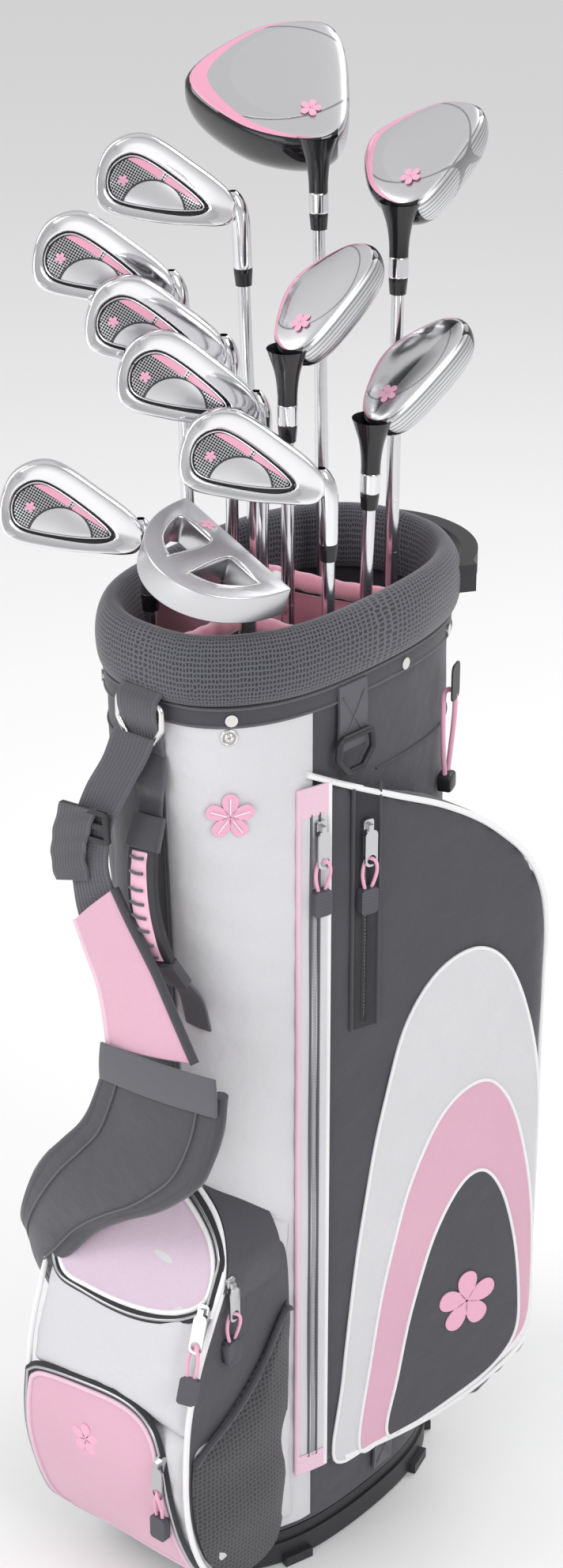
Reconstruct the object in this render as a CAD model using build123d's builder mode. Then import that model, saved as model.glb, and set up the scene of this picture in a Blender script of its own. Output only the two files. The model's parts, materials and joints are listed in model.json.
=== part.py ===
from build123d import *
from math import atan2, cos, degrees, hypot, pi, radians, sin, tan
import os

os.makedirs("parts", exist_ok=True)

# A cart bag with eleven clubs. Millimetres, +Z up, the pouch side faces -Y, the origin is at
# the centre of the base's flat underside.

# ---- driving dimensions of the bag ----
OVAL = 2.6                      # power of the bag's oval cross-section
BASE_X, BASE_Y = 90.0, 141.0    # half widths of the tube at the base
TOP_X, TOP_Y = 91.6, 148.6      # half widths of the tube at the collar
TUBE_LOW, TUBE_TOP = 32.0, 800.0
WALL = 3.0                      # padded fabric over its lining
FLOOR = 12.0                    # inside face of the moulded base
BAND = 785.0                    # height of the webbing band under the collar
COLLAR_TOP = 838.0
BAR_Z, BAR_HIGH, BAR_WIDE = 819.0, 15.0, 13.0   # padded divider bars
GAP = 0.3                       # between soft neighbours

# plan of the dividers: ends of the bars on the wall and the two hub points
REAR_LEFT, REAR_HUB, REAR_RIGHT = (-77, 25), (-12.5, 22), (77, 44)
FRONT_LEFT, FRONT_HUB, FRONT_RIGHT = (-76, -55), (-12.5, -53), (76, -59)
CENTRE_BAR_BACK, CENTRE_BAR_FRONT = (9, -54), (10, -130)

# pockets
POCKET_LOW, POCKET_TOP = 86.0, 722.0
POUCH_HALF, POUCH_LOW, POUCH_SPLIT, POUCH_TOP = 84.0, 26.0, 196.0, 388.0

CORD = 2.8                      # zip pull loops
SHOCK_CORD = 4.0                # umbrella cord


def save(piece, name):
    piece.label = name
    export_step(piece, f"parts/{name}.step")


def tube_half(z, grow=0.0):
    """Half widths of the tube's outside at height z."""
    rise = (z - FLOOR) / (TUBE_TOP - FLOOR)
    return BASE_X + (TOP_X - BASE_X) * rise + grow, BASE_Y + (TOP_Y - BASE_Y) * rise + grow


def oval_point(half_x, half_y, turn):
    c, s = cos(radians(turn)), sin(radians(turn))
    x = half_x * abs(c) ** (2 / OVAL) * (1 if c >= 0 else -1)
    y = half_y * abs(s) ** (2 / OVAL) * (1 if s >= 0 else -1)
    return x, y


def oval_face(half_x, half_y, mode=Mode.ADD):
    """The bag's oval section, drawn in the sketch that is open."""
    points = [oval_point(half_x, half_y, 7.5 + 15 * i) for i in range(24)]
    with BuildLine() as outline:
        Spline(*points, periodic=True)
    make_face(outline.edges(), mode=mode)


def tube_plug(grow, low, high):
    """A solid oval plug that follows the tube's outside, grown by grow."""
    with BuildPart() as plug:
        with BuildSketch(Plane.XY.offset(low)):
            oval_face(*tube_half(low, grow))
        with BuildSketch(Plane.XY.offset(high)):
            oval_face(*tube_half(high, grow))
        loft()
    return plug.part


def on_wall(turn, z, grow=0.0):
    """A point on the tube's outside and the outward normal there."""
    half_x, half_y = tube_half(z, grow)
    x, y = oval_point(half_x, half_y, turn)
    nx = abs(x / half_x) ** (OVAL - 1) / half_x * (1 if x >= 0 else -1)
    ny = abs(y / half_y) ** (OVAL - 1) / half_y * (1 if y >= 0 else -1)
    size = hypot(nx, ny)
    return Vector(x, y, z), Vector(nx / size, ny / size, 0)


# ---- moulded base: a flat foot ring, a floor and an upstanding wall ----
with BuildPart() as base_moulding:
    with BuildSketch():
        oval_face(BASE_X + 2, BASE_Y + 2)
    extrude(amount=FLOOR + 10)
    fillet(base_moulding.faces().sort_by(Axis.Z)[0].edges(), 3)
    with BuildSketch(Plane.XY.offset(FLOOR)):
        oval_face(BASE_X - WALL, BASE_Y - WALL)
    extrude(amount=30, mode=Mode.SUBTRACT)
    with BuildSketch(Plane.XY.offset(FLOOR + 10)):
        oval_face(BASE_X, BASE_Y)
        oval_face(BASE_X - WALL, BASE_Y - WALL, mode=Mode.SUBTRACT)
    extrude(amount=TUBE_LOW - FLOOR - 10)
    for turn in (28, 62, 118, 152, 208, 242, 298, 332):       # foot steps round the rim
        foot, normal = on_wall(turn, FLOOR, grow=3)
        with BuildSketch(Plane(origin=(foot.X, foot.Y, 0), x_dir=(-normal.Y, normal.X, 0),
                               z_dir=(0, 0, 1))):
            Rectangle(26, 8)
        extrude(amount=9)
save(base_moulding.part, "base_moulding")

# ---- body tube: the padded fabric wall from the base to the collar ----
with BuildPart() as body_tube:
    with BuildSketch(Plane.XY.offset(TUBE_LOW)):
        oval_face(*tube_half(TUBE_LOW))
    with BuildSketch(Plane.XY.offset(TUBE_TOP)):
        oval_face(*tube_half(TUBE_TOP))
    loft()
    with BuildSketch(Plane.XY.offset(TUBE_LOW)):
        oval_face(*tube_half(TUBE_LOW, -WALL))
    with BuildSketch(Plane.XY.offset(TUBE_TOP)):
        oval_face(*tube_half(TUBE_TOP, -WALL))
    loft(mode=Mode.SUBTRACT)
save(body_tube.part, "body_tube")

# ---- top frame: moulded ring above the tube, with the rear lift handle ----
with BuildPart() as top_frame:
    with BuildSketch(Plane.XY.offset(TUBE_TOP)):
        oval_face(TOP_X - 1, TOP_Y - 1)
        oval_face(TOP_X - 7, TOP_Y - 7, mode=Mode.SUBTRACT)
    extrude(amount=28)
    for side in (1, -1):                                      # bosses of the rear handle
        with BuildSketch(Plane.XY.offset(TUBE_TOP + 2)):
            with Locations((side * 74, 119)):
                Rectangle(16, 26, rotation=side * -35)
        extrude(amount=22)
    with BuildSketch(Plane.XY.offset(TUBE_TOP + 4)):
        with BuildLine():
            outer = ThreePointArc((79, 128), (0, 190), (-79, 128))
            Line(outer @ 1, (-70, 118))
            inner = ThreePointArc((-70, 118), (0, 176), (70, 118))
            Line(inner @ 1, (79, 128))
        make_face()
    extrude(amount=18)
    with BuildSketch(Plane.XY.offset(TUBE_TOP)):
        oval_face(TOP_X - 7, TOP_Y - 7)
    extrude(amount=28, mode=Mode.SUBTRACT)
save(top_frame.part, "top_frame")

# ---- collar pad: the rolled mesh cushion round the mouth ----
with BuildPart() as collar_pad:
    with BuildSketch(Plane.XY.offset(BAND + 1.5)):
        oval_face(TOP_X + 3, TOP_Y + 3)
    with BuildSketch(Plane.XY.offset(BAND + 28)):
        oval_face(TOP_X + 7, TOP_Y + 7)
    with BuildSketch(Plane.XY.offset(COLLAR_TOP - 8)):
        oval_face(TOP_X + 4, TOP_Y + 4)
    with BuildSketch(Plane.XY.offset(COLLAR_TOP)):
        oval_face(TOP_X - 4, TOP_Y - 4)
    loft()
    with BuildSketch(Plane.XY.offset(BAND)):
        oval_face(TOP_X + GAP, TOP_Y + GAP)
    extrude(amount=TUBE_TOP + 28 + GAP - BAND, mode=Mode.SUBTRACT)
    with BuildSketch(Plane.XY.offset(COLLAR_TOP)):
        oval_face(TOP_X - 10, TOP_Y - 10)
    extrude(amount=-30, mode=Mode.SUBTRACT)
    for side in (1, -1):                                      # room for the rear handle's bosses
        with BuildSketch(Plane.XY.offset(TUBE_TOP)):
            with Locations((side * 77, 123)):
                Rectangle(30, 56, rotation=side * -35)
        extrude(amount=27, mode=Mode.SUBTRACT)
save(collar_pad.part, "collar_pad")


def bar(start, end, low, high, wide):
    """A straight upright strip between two plan points, rounded along its top."""
    a, b = Vector(*start), Vector(*end)
    along = (b - a).normalized()
    foot = Plane(origin=(a.X, a.Y, low), x_dir=(along.X, along.Y, 0), z_dir=(0, 0, 1))
    with BuildSketch(foot) as strip:
        with Locations(((b - a).length / 2, 0)):
            Rectangle((b - a).length + wide * 0.6, wide)
    extrude(strip.sketch, amount=high - low)


BARS = ((REAR_LEFT, REAR_HUB), (REAR_HUB, REAR_RIGHT), (FRONT_LEFT, FRONT_HUB),
        (FRONT_HUB, FRONT_RIGHT), (REAR_HUB, FRONT_HUB), (CENTRE_BAR_BACK, CENTRE_BAR_FRONT))
mouth = tube_plug(-WALL - 8.2, 700, 900)
shaft_room = tube_plug(-WALL - GAP, 0, 900)

# ---- divider bars: the padded grid across the mouth ----
with BuildPart() as divider_bars:
    for start, end in BARS:
        bar(start, end, BAR_Z - BAR_HIGH / 2, BAR_Z + BAR_HIGH / 2, BAR_WIDE)
    add(mouth, mode=Mode.INTERSECT)
save(divider_bars.part, "divider_bars")

# ---- full-length divider sheets hanging under the bars ----
with BuildPart() as inner_dividers:
    for start, end in BARS:
        bar(start, end, FLOOR + 6, BAR_Z - BAR_HIGH / 2, 1.2)
    add(shaft_room, mode=Mode.INTERSECT)
save(inner_dividers.part, "inner_dividers")

# ---- two alloy stays inside the rear wall, socketed in the base ----
with BuildPart() as stay_rods:
    for side in (1, -1):
        with BuildSketch(Plane.XY.offset(FLOOR)):
            with Locations((side * 52, 116)):
                Circle(4)
        extrude(amount=TUBE_TOP - FLOOR - 4)
save(stay_rods.part, "stay_rods")


# ---- side pockets: a full-length garment pocket on each side ----
tube_outside = tube_plug(GAP, 20, 800)


def outer_edges(pocket):
    """The upright edges that stand well clear of the tube."""
    return [edge for edge in pocket.edges().filter_by(Axis.Z) if abs(edge.center().X) > 100]


def side_pocket(plan, top):
    """Pocket of the given plan, cut to a side outline and hollowed to fit the tube."""
    with BuildPart() as pocket:
        with BuildSketch(Plane.XY.offset(POCKET_LOW)):
            with BuildLine():
                Polyline(*plan, close=True)
            make_face()
        extrude(amount=POCKET_TOP - POCKET_LOW + 10)
        fillet(outer_edges(pocket), 20)
        with BuildSketch(Plane.YZ.offset(-250)):
            with BuildLine():
                Spline(*top)
                Polyline(top[-1], (164, 200), (150, 128), (104, 97), (40, 89), (-90, POCKET_LOW),
                         (-90, top[0][1]), top[0])
            make_face()
        extrude(amount=500, mode=Mode.INTERSECT)
        add(tube_outside, mode=Mode.SUBTRACT)
    return pocket.part.solids().sort_by(SortBy.VOLUME)[-1]


SIDE_TOP = [(-78, 722), (-38, 702), (43, 666), (96, 630), (130, 585), (152, 540), (161, 480)]
right_plan = [(50, -77), (88, -77), (156, 150), (110, 166), (30, 156)]
left_plan = [(-50, -77), (-88, -77), (-126, -64), (-156, 150), (-110, 166), (-30, 156)]
save(side_pocket(right_plan, SIDE_TOP), "right_pocket")
save(side_pocket(left_plan, SIDE_TOP), "left_pocket")

# ---- front pouch: domed upper part and the ball pocket under it ----
with BuildPart() as pouch:
    with BuildSketch(Plane.YZ.offset(-POUCH_HALF)):
        with BuildLine():
            Spline((-140, POUCH_TOP), (-170, 330), (-199, 262), (-214, 190), (-215, 130),
                   (-196, 66), (-160, POUCH_LOW))
            Polyline((-160, POUCH_LOW), (-79, POUCH_LOW), (-79, POUCH_TOP), (-140, POUCH_TOP))
        make_face()
    extrude(amount=2 * POUCH_HALF)
    with BuildSketch(Plane.XZ.offset(60)):
        with BuildLine():
            Polyline((-POUCH_HALF, 290), (-POUCH_HALF, 50), (-POUCH_HALF + 24, POUCH_LOW),
                     (POUCH_HALF - 24, POUCH_LOW), (POUCH_HALF, 50), (POUCH_HALF, 336))
            Spline((POUCH_HALF, 336), (58, 370), (4, POUCH_TOP), (-52, 360), (-POUCH_HALF, 290))
        make_face()
    extrude(amount=200, mode=Mode.INTERSECT)
    add(tube_outside, mode=Mode.SUBTRACT)
    with BuildSketch(Plane.XY.offset(10)):
        oval_face(BASE_X + 8, BASE_Y + 8)
    extrude(amount=18, mode=Mode.SUBTRACT)
pouch_solid = pouch.part.solids().sort_by(SortBy.VOLUME)[-1]
with BuildPart() as front_pocket:
    add(pouch_solid)
    split(bisect_by=Plane.XY.offset(POUCH_SPLIT + GAP), keep=Keep.TOP)
save(front_pocket.part, "front_pocket")
with BuildPart() as ball_pocket:
    add(pouch_solid)
    split(bisect_by=Plane.XY.offset(POUCH_SPLIT), keep=Keep.BOTTOM)
save(ball_pocket.part, "ball_pocket")


# ---- metal fittings: band rivets, press stud and the strap's D-ring ----
def wall_degrees(x, y, z):
    """The oval's parameter for the wall point nearest the direction of (x, y)."""
    half_x, half_y = tube_half(z)
    c = (abs(x) / half_x) ** (OVAL / 2) * (1 if x >= 0 else -1)
    s = (abs(y) / half_y) ** (OVAL / 2) * (1 if y >= 0 else -1)
    return degrees(atan2(s, c))


def wall_plane(x, y, z, grow=0.0):
    """Plane on the tube's outside: x along the wall, y up, z outward."""
    point, normal = on_wall(wall_degrees(x, y, z), z, grow)
    return Plane(origin=point, x_dir=(-normal.Y, normal.X, 0), z_dir=normal)


RING_Z, RING_Y, RING_WIRE = 768.0, -158.0, 2.3
RIVETS = [(59.5, -125.7, 776), (-59.5, -125.7, 776), (90.9, 29.6, 776), (-90.9, 29.6, 776),
          (78, 100, 776), (-78, 100, 776)]
with BuildPart() as metal_fittings:
    for x, y, z in RIVETS:
        with BuildSketch(wall_plane(x, y, z, 2.2)):
            Circle(4.6)
        extrude(amount=2.2)
    with BuildSketch(wall_plane(62.7, -121.9, 742, 0.2)):
        Circle(6.2)
        Circle(2.6, mode=Mode.SUBTRACT)
    extrude(amount=1.8)
    with BuildLine() as ring_line:
        ring_path = FilletPolyline((-21, RING_Y, RING_Z + 16), (21, RING_Y, RING_Z + 16),
                                   (21, RING_Y, RING_Z - 2), (11, RING_Y, RING_Z - 17),
                                   (-11, RING_Y, RING_Z - 17), (-21, RING_Y, RING_Z - 2),
                                   radius=5, close=True)
    with BuildSketch(Plane(origin=ring_path @ 0, z_dir=ring_path % 0)):
        Circle(RING_WIRE)
    sweep(path=ring_line.wires()[0])
save(metal_fittings.part, "metal_fittings")


# ---- zips: tapes on the pockets, and sliders with their pull tabs and tips ----
RIGHT_FACE = Plane(origin=(88, -77, 0), x_dir=(68, 227, 0), z_dir=(227, -68, 0))
LEFT_FACE = Plane(origin=(-88, -77, 0), x_dir=(38, -13, 0), z_dir=(-13, -38, 0))
SIDE_ZIP, POCKET_ZIP, LEFT_ZIP = 10.0, 52.0, -12.0     # distance of each zip from its corner
TAPE = 1.0


def face_point(face, along, height, out=0.0):
    return Plane(origin=face.from_local_coords((along, height, out)),
                 x_dir=face.x_dir, z_dir=face.z_dir)


def pull_solids():
    """Slider, tab with its hole, and moulded tip, hanging along -Y from the slider's centre."""
    with BuildPart() as pull:
        with BuildSketch():
            RectangleRounded(9, 14, 2.5)
        extrude(amount=5)
        with BuildSketch(Plane.XY.offset(5)):
            with Locations((0, -1)):
                Rectangle(4, 9)
        extrude(amount=3.4)
        with BuildSketch(Plane.XY.offset(6.9)):
            with Locations((0.4, -16)):
                RectangleRounded(11, 30, 4.5)
            with Locations((0.5, -25.3)):
                Circle(3.9, mode=Mode.SUBTRACT)
        extrude(amount=1.5)
        with BuildSketch(Plane.XY.offset(1.2)):
            with Locations((0, -60.5)):
                RectangleRounded(15, 21, 3)
        extrude(amount=7)
    return pull.part


LOOP = [(3, -50, 5), (5.2, -41, 7.5), (4.6, -31, 10.2), (2.2, -24.6, 10.6), (-1.2, -24.2, 4.6),
        (-4.2, -30.5, 4.4), (-5.4, -41, 4.6), (-3, -50, 5)]


def corner_radii(points):
    """0.45 of the shorter run over the tangent of half the turn, at each corner."""
    radii = []
    for before, corner, after in zip(points, points[1:], points[2:]):
        first, second = Vector(*corner) - Vector(*before), Vector(*after) - Vector(*corner)
        turn = radians(first.get_angle(second))
        radii.append(0.45 * min(first.length, second.length) / tan(turn / 2))
    return radii


def cord_solid(points, diameter, name):
    radii = corner_radii(points)
    with BuildPart() as cord:
        with BuildLine():
            route = FilletPolyline(*points, radius=radii)
        with BuildSketch(Plane(origin=route @ 0, z_dir=route % 0)):
            Circle(diameter / 2)
        sweep()
    swept = pi * diameter ** 2 / 4 * route.length
    print(name, "length", round(route.length, 1), "tightest", round(min(radii), 2),
          "volume ratio", round(cord.part.volume / swept, 4))
    return cord.part


PULLS = {"side_zip": face_point(RIGHT_FACE, SIDE_ZIP, 677, TAPE + GAP),
         "accessory_zip": face_point(RIGHT_FACE, POCKET_ZIP, 667, TAPE + GAP),
         "front_zip": Plane(origin=(80, -186, 304), x_dir=(0.96, 0.28, 0), z_dir=(0.25, -0.86, 0.44)),
         "front_parked_zip": Plane(origin=(84.6, -166, 322), x_dir=(0, 1, 0), z_dir=(1, 0, 0)),
         "ball_zip": Plane(origin=(62, -217.5, 172), x_dir=(1, 0, 0), z_dir=(0, -1, 0))}
pull = pull_solids()
parked = PULLS["front_parked_zip"].location * pull
for name, place in PULLS.items():
    if name != "front_parked_zip":
        save(place.location * pull, f"{name}_slider")
    save(place.location * cord_solid(LOOP, CORD, name), f"{name}_cord")

with BuildPart() as zip_tapes:
    for face, along, low, high, wide in ((RIGHT_FACE, SIDE_ZIP, 104, 706, 14),
                                         (RIGHT_FACE, POCKET_ZIP, 512, 684, 12),
                                         (LEFT_FACE, LEFT_ZIP, 104, 700, 12)):
        with BuildSketch(face_point(face, along, (low + high) / 2, 0.1)):
            Rectangle(wide, high - low)
        extrude(amount=TAPE)
    add(parked)
    add(face_point(LEFT_FACE, LEFT_ZIP, 670, TAPE + GAP).location * pull)
save(zip_tapes.part, "zip_tapes")

# ---- webbing: collar band, tabs, and the umbrella loop's tab and toggle ----
UMBRELLA = wall_plane(80, 92, 732, 0.2)
UMBRELLA_LOOP = [(4, -72, 7), (5.2, -52, 8.6), (5, -30, 10.6), (4, -13, 11.6), (2.4, -2, 11.4),
                 (-1.8, -1.2, 4.4), (-4.2, -12, 4.6), (-5.2, -30, 5), (-5, -52, 5.6), (-4, -72, 7)]
with BuildPart() as webbing:
    with BuildSketch(Plane.XY.offset(769)):
        oval_face(TOP_X + 1.8, TOP_Y + 1.8)
        oval_face(TOP_X + 0.2, TOP_Y + 0.2, mode=Mode.SUBTRACT)
    extrude(amount=BAND - 769)
    for place, wide, tall, drop in ((wall_plane(0, -148, 762, 2.1), 38, 44, 0),
                                    (wall_plane(90, -32, 752, 2.1), 30, 48, 0),
                                    (wall_plane(89, 20, 50, 0.2), 22, 30, 0)):
        with BuildSketch(place):
            with Locations((0, drop)):
                Rectangle(wide, tall)
        extrude(amount=2)
    with BuildSketch(UMBRELLA.offset(6.9)):                  # eyelet plate of the umbrella loop
        with Locations((0, 5)):
            RectangleRounded(18, 28, 5)
        with Locations((0.3, -2.4)):
            Circle(5.4, mode=Mode.SUBTRACT)
    extrude(amount=1.5)
    with BuildSketch(UMBRELLA):
        with Locations((0, 13)):
            Rectangle(14, 8)
    extrude(amount=6.9)
    with BuildSketch(UMBRELLA.offset(2)):                    # cord toggle
        with Locations((0, -79)):
            RectangleRounded(14, 14, 3)
    extrude(amount=10)
save(webbing.part, "webbing")
save(UMBRELLA.location * cord_solid(UMBRELLA_LOOP, SHOCK_CORD, "umbrella"), "umbrella_cord")

# ---- towel ring on its tab ----
TOWEL = wall_plane(90, -32, 737, 4.6)
with BuildPart() as towel_ring:
    with BuildLine() as towel_line:
        towel_path = FilletPolyline((-17, 5, 4), (17, 5, 4), (19, -10, 4), (8, -23, 4),
                                    (-8, -23, 4), (-19, -10, 4), radius=5, close=True)
    with BuildSketch(Plane(origin=towel_path @ 0, z_dir=towel_path % 0)):
        Circle(2.8)
    sweep(path=towel_line.wires()[0])
save(TOWEL.location * towel_ring.part, "towel_ring")

# ---- carry handle: moulded grip hanging in front of the front strip ----
with BuildPart() as carry_handle:
    with BuildSketch(Plane.YZ.offset(-3)):
        with BuildLine():
            outer_curve = ThreePointArc((-158, 692), (-176, 632), (-160, 566))
            Line(outer_curve @ 1, (-154, 570))
            inner_curve = ThreePointArc((-154, 570), (-164, 630), (-154, 688))
            Line(inner_curve @ 1, (-158, 692))
        make_face()
    extrude(amount=30)
    fillet(carry_handle.edges().filter_by(Axis.X), 1.5)
save(carry_handle.part, "carry_handle")


# ---- shoulder strap: webbing, buckle and the padded sling, plain and closed ----
def strap_section(centre, across, normal, wide, thick):
    place = Plane(origin=centre, x_dir=across, z_dir=Vector(*across).cross(Vector(*normal)))
    with BuildSketch(place) as section:
        RectangleRounded(wide, thick, thick * 0.45)
    return section.sketch


# centre, direction across the strap, outward normal, width, thickness
SLING = [((-2, -164, 742), (1, 0, 0), (0, -1, 0), 38, 5),
         ((-14, -178, 712), (1, 0, 0), (0, -1, 0.2), 38, 6),
         ((-24, -184, 680), (1, 0, 0.1), (0, -1, 0), 40, 8),
         ((-28, -183, 630), (1, 0, 0.2), (0, -1, 0), 40, 8),
         ((-25, -184, 588), (1, 0, 0.3), (0, -1, 0), 36, 9),
         ((6, -185, 543), (1, 0, 0.4), (0, -1, 0), 66, 10),
         ((26, -186, 500), (1, 0, 0.25), (0, -1, 0), 92, 12),
         ((18, -187, 455), (1, 0.02, 0.38), (0, -1, 0), 112, 14),
         ((-14, -187, 412), (1, 0.08, 0.5), (0, -1, 0), 116, 15),
         ((-62, -183, 370), (0.8, 0.0, 0.75), (-0.2, -1, 0), 92, 14),
         ((-97, -172, 318), (0.55, -0.1, 0.75), (-0.9, -0.8, 0), 62, 11),
         ((-106, -148, 262), (0.1, 0.8, 0.3), (-1, 0, 0), 44, 8),
         ((-106, -122, 214), (0, 1, 0.2), (-1, 0, 0), 36, 5)]
with BuildPart() as shoulder_strap:
    loft([strap_section(*entry) for entry in SLING], ruled=True)
save(shoulder_strap.part, "shoulder_strap")


# ---- clubs ----
# Each club is built upright in its own frame: butt at the origin, shaft along +Z, the face
# towards +X and the toe towards +Y and up. It is then set on its axis in the bag.
SHAFT_BUTT, SHAFT_TIP = 7.3, 4.7
GRIP_LONG, GRIP_BUTT, GRIP_MOUTH = 262.0, 12.4, 9.6
BORE_DEEP = 26.0
AXIS_LOW, AXIS_HIGH = FLOOR, 820.0          # heights where the two plan points below lie


def club_plane(floor, mouth, raised, facing):
    low, high = Vector(*floor, AXIS_LOW), Vector(*mouth, AXIS_HIGH)
    up = (high - low).normalized()
    return Plane(origin=low + up * (raised + 0.2), z_dir=up,
                 x_dir=(cos(radians(facing)), sin(radians(facing)), 0))


def shaft_and_grip(junction):
    """Tapered steel shaft with its ferrule, and the rubber grip over its butt."""
    with BuildPart() as shaft:
        with BuildSketch(Plane.XZ):
            Polygon((0, 4), (SHAFT_BUTT, 4), (SHAFT_BUTT, GRIP_LONG), (SHAFT_TIP, junction - 60),
                    (SHAFT_TIP, junction + BORE_DEEP), (0, junction + BORE_DEEP), align=None)
        revolve(axis=Axis.Z)
        with BuildSketch(Plane.XZ):
            Polygon((SHAFT_TIP, junction - 13), (SHAFT_TIP + 1.4, junction - 13),
                    (7, junction - 3), (7, junction), (SHAFT_TIP, junction), align=None)
        revolve(axis=Axis.Z)
    with BuildPart() as grip:
        with BuildSketch(Plane.XZ):
            Polygon((0, 0), (GRIP_BUTT, 0), (GRIP_BUTT, 6), (GRIP_MOUTH, GRIP_LONG),
                    (SHAFT_BUTT, GRIP_LONG), (SHAFT_BUTT, 4), (0, 4), align=None)
        revolve(axis=Axis.Z)
        fillet(grip.edges().sort_by(Axis.Z)[0], 2)
    return shaft.part, grip.part


def head_directions(lie):
    """Toe and crown directions of a head whose shaft stands along Z."""
    toe = Vector(0, sin(radians(lie)), cos(radians(lie)))
    crown = Vector(0, cos(radians(lie)), -sin(radians(lie)))
    return toe, crown


def wood_head(junction, lie, hosel, face, back, toe_reach, deep):
    """Hollow-wood shape: a pear-shaped outline swelling from the sole and closing at the crown."""
    toe, crown = head_directions(lie)
    sole = Plane(origin=(0, 0, junction + hosel), x_dir=(1, 0, 0), z_dir=-crown)
    outline = [(face, 0.5 * toe_reach), (face * 0.75, 0.88 * toe_reach),
               (0, toe_reach), (-0.5 * back, 0.93 * toe_reach), (-back, 0.52 * toe_reach),
               (-0.62 * back, 0.1 * toe_reach), (-0.1 * back, -0.05 * toe_reach),
               (face * 0.8, 0.06 * toe_reach)]
    middle = Vector(-0.3 * back, 0.5 * toe_reach, 0)
    with BuildPart() as head:
        for share, scale in ((0.0, 0.9), (0.12, 0.985), (0.35, 1.0), (0.7, 0.86), (1.0, 0.46)):
            with BuildSketch(sole.offset(-share * deep)):
                ring = [middle + (Vector(x, y, 0) - middle) * scale for x, y in outline]
                with BuildLine():
                    Spline(*ring, periodic=True)
                make_face()
        loft()
        with BuildSketch(Plane.XZ):
            Polygon((0, junction), (6.9, junction), (7.1, junction + 0.4 * hosel),
                    (10, junction + 0.8 * hosel), (9, junction + hosel), (0, junction + hosel),
                    align=None)
        revolve(axis=Axis.Z)
        with Locations(Plane(origin=(0, 0, junction), z_dir=(0, 0, -1))):
            Hole(SHAFT_TIP + 0.05, BORE_DEEP + 1)
    return head.part


def iron_head(junction, lie, hosel, loft_angle, size):
    """Cavity-back blade on a straight hosel."""
    toe, crown = head_directions(lie)
    normal = Vector(1, 0, 0) * cos(radians(loft_angle)) + crown * sin(radians(loft_angle))
    blade = Plane(origin=(0, 0, junction + hosel), x_dir=toe, z_dir=normal)
    outline = [(40, 0), (78, -1), (97, 18), (95, 44), (80, 62), (50, 55), (18, 41), (-6, 26),
               (2, 7)]
    with BuildPart() as head:
        with BuildSketch(blade.offset(-7)):
            with BuildLine():
                Spline(*[(x * size, -y * size) for x, y in outline], periodic=True)
            make_face()
        extrude(amount=9)
        with BuildSketch(blade.offset(-14)):                 # wide sole behind the face
            with BuildLine():
                Spline(*[(x * size, -y * size) for x, y in
                         ((40, 1), (78, 0), (93, 10), (90, 17), (66, 13), (36, 11), (6, 12),
                          (2, 7))], periodic=True)
            make_face()
        extrude(amount=8)
        with BuildSketch(blade.offset(-7)):                  # cavity
            with BuildLine():
                Spline(*[(x * size, -y * size) for x, y in
                         ((46, 17), (76, 17), (88, 28), (86, 43), (74, 51), (48, 45), (22, 33),
                          (16, 22))], periodic=True)
            make_face()
        extrude(amount=3.2, mode=Mode.SUBTRACT)
        with BuildSketch(Plane.XZ):
            Polygon((0, junction), (6.9, junction), (7.2, junction + hosel - 14),
                    (4, junction + hosel - 4), (0, junction + hosel - 4), align=None)
        revolve(axis=Axis.Z)
        with Locations(Plane(origin=(0, 0, junction), z_dir=(0, 0, -1))):
            Hole(SHAFT_TIP + 0.05, BORE_DEEP + 1)
    return head.part


def putter_head(junction, lie, hosel):
    """Half-round mallet with two windows through it."""
    toe, crown = head_directions(lie)
    sole = Plane(origin=(0, 0, junction + hosel), x_dir=(1, 0, 0), z_dir=-crown)
    with BuildPart() as head:
        with BuildSketch(sole.offset(-24)):
            with BuildLine():
                Line((10, -36), (10, 78))
                ThreePointArc((10, 78), (-66, 21), (10, -36))
            make_face()
            for side in (1, -1):
                with BuildLine():
                    Line((-8, 21 + side * 10), (-8, 21 + side * 43))
                    ThreePointArc((-8, 21 + side * 43), (-38, 21 + side * 32),
                                  (-48, 21 + side * 10))
                    Line((-48, 21 + side * 10), (-8, 21 + side * 10))
                make_face(mode=Mode.SUBTRACT)
        extrude(amount=24)
        with BuildSketch(Plane.XZ):
            Polygon((0, junction), (6.4, junction), (6.4, junction + 12), (5, junction + hosel - 8),
                    (0, junction + hosel - 8), align=None)
        revolve(axis=Axis.Z)
        with Locations(Plane(origin=(0, 0, junction), z_dir=(0, 0, -1))):
            Hole(SHAFT_TIP + 0.05, BORE_DEEP + 1)
    return head.part


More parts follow.
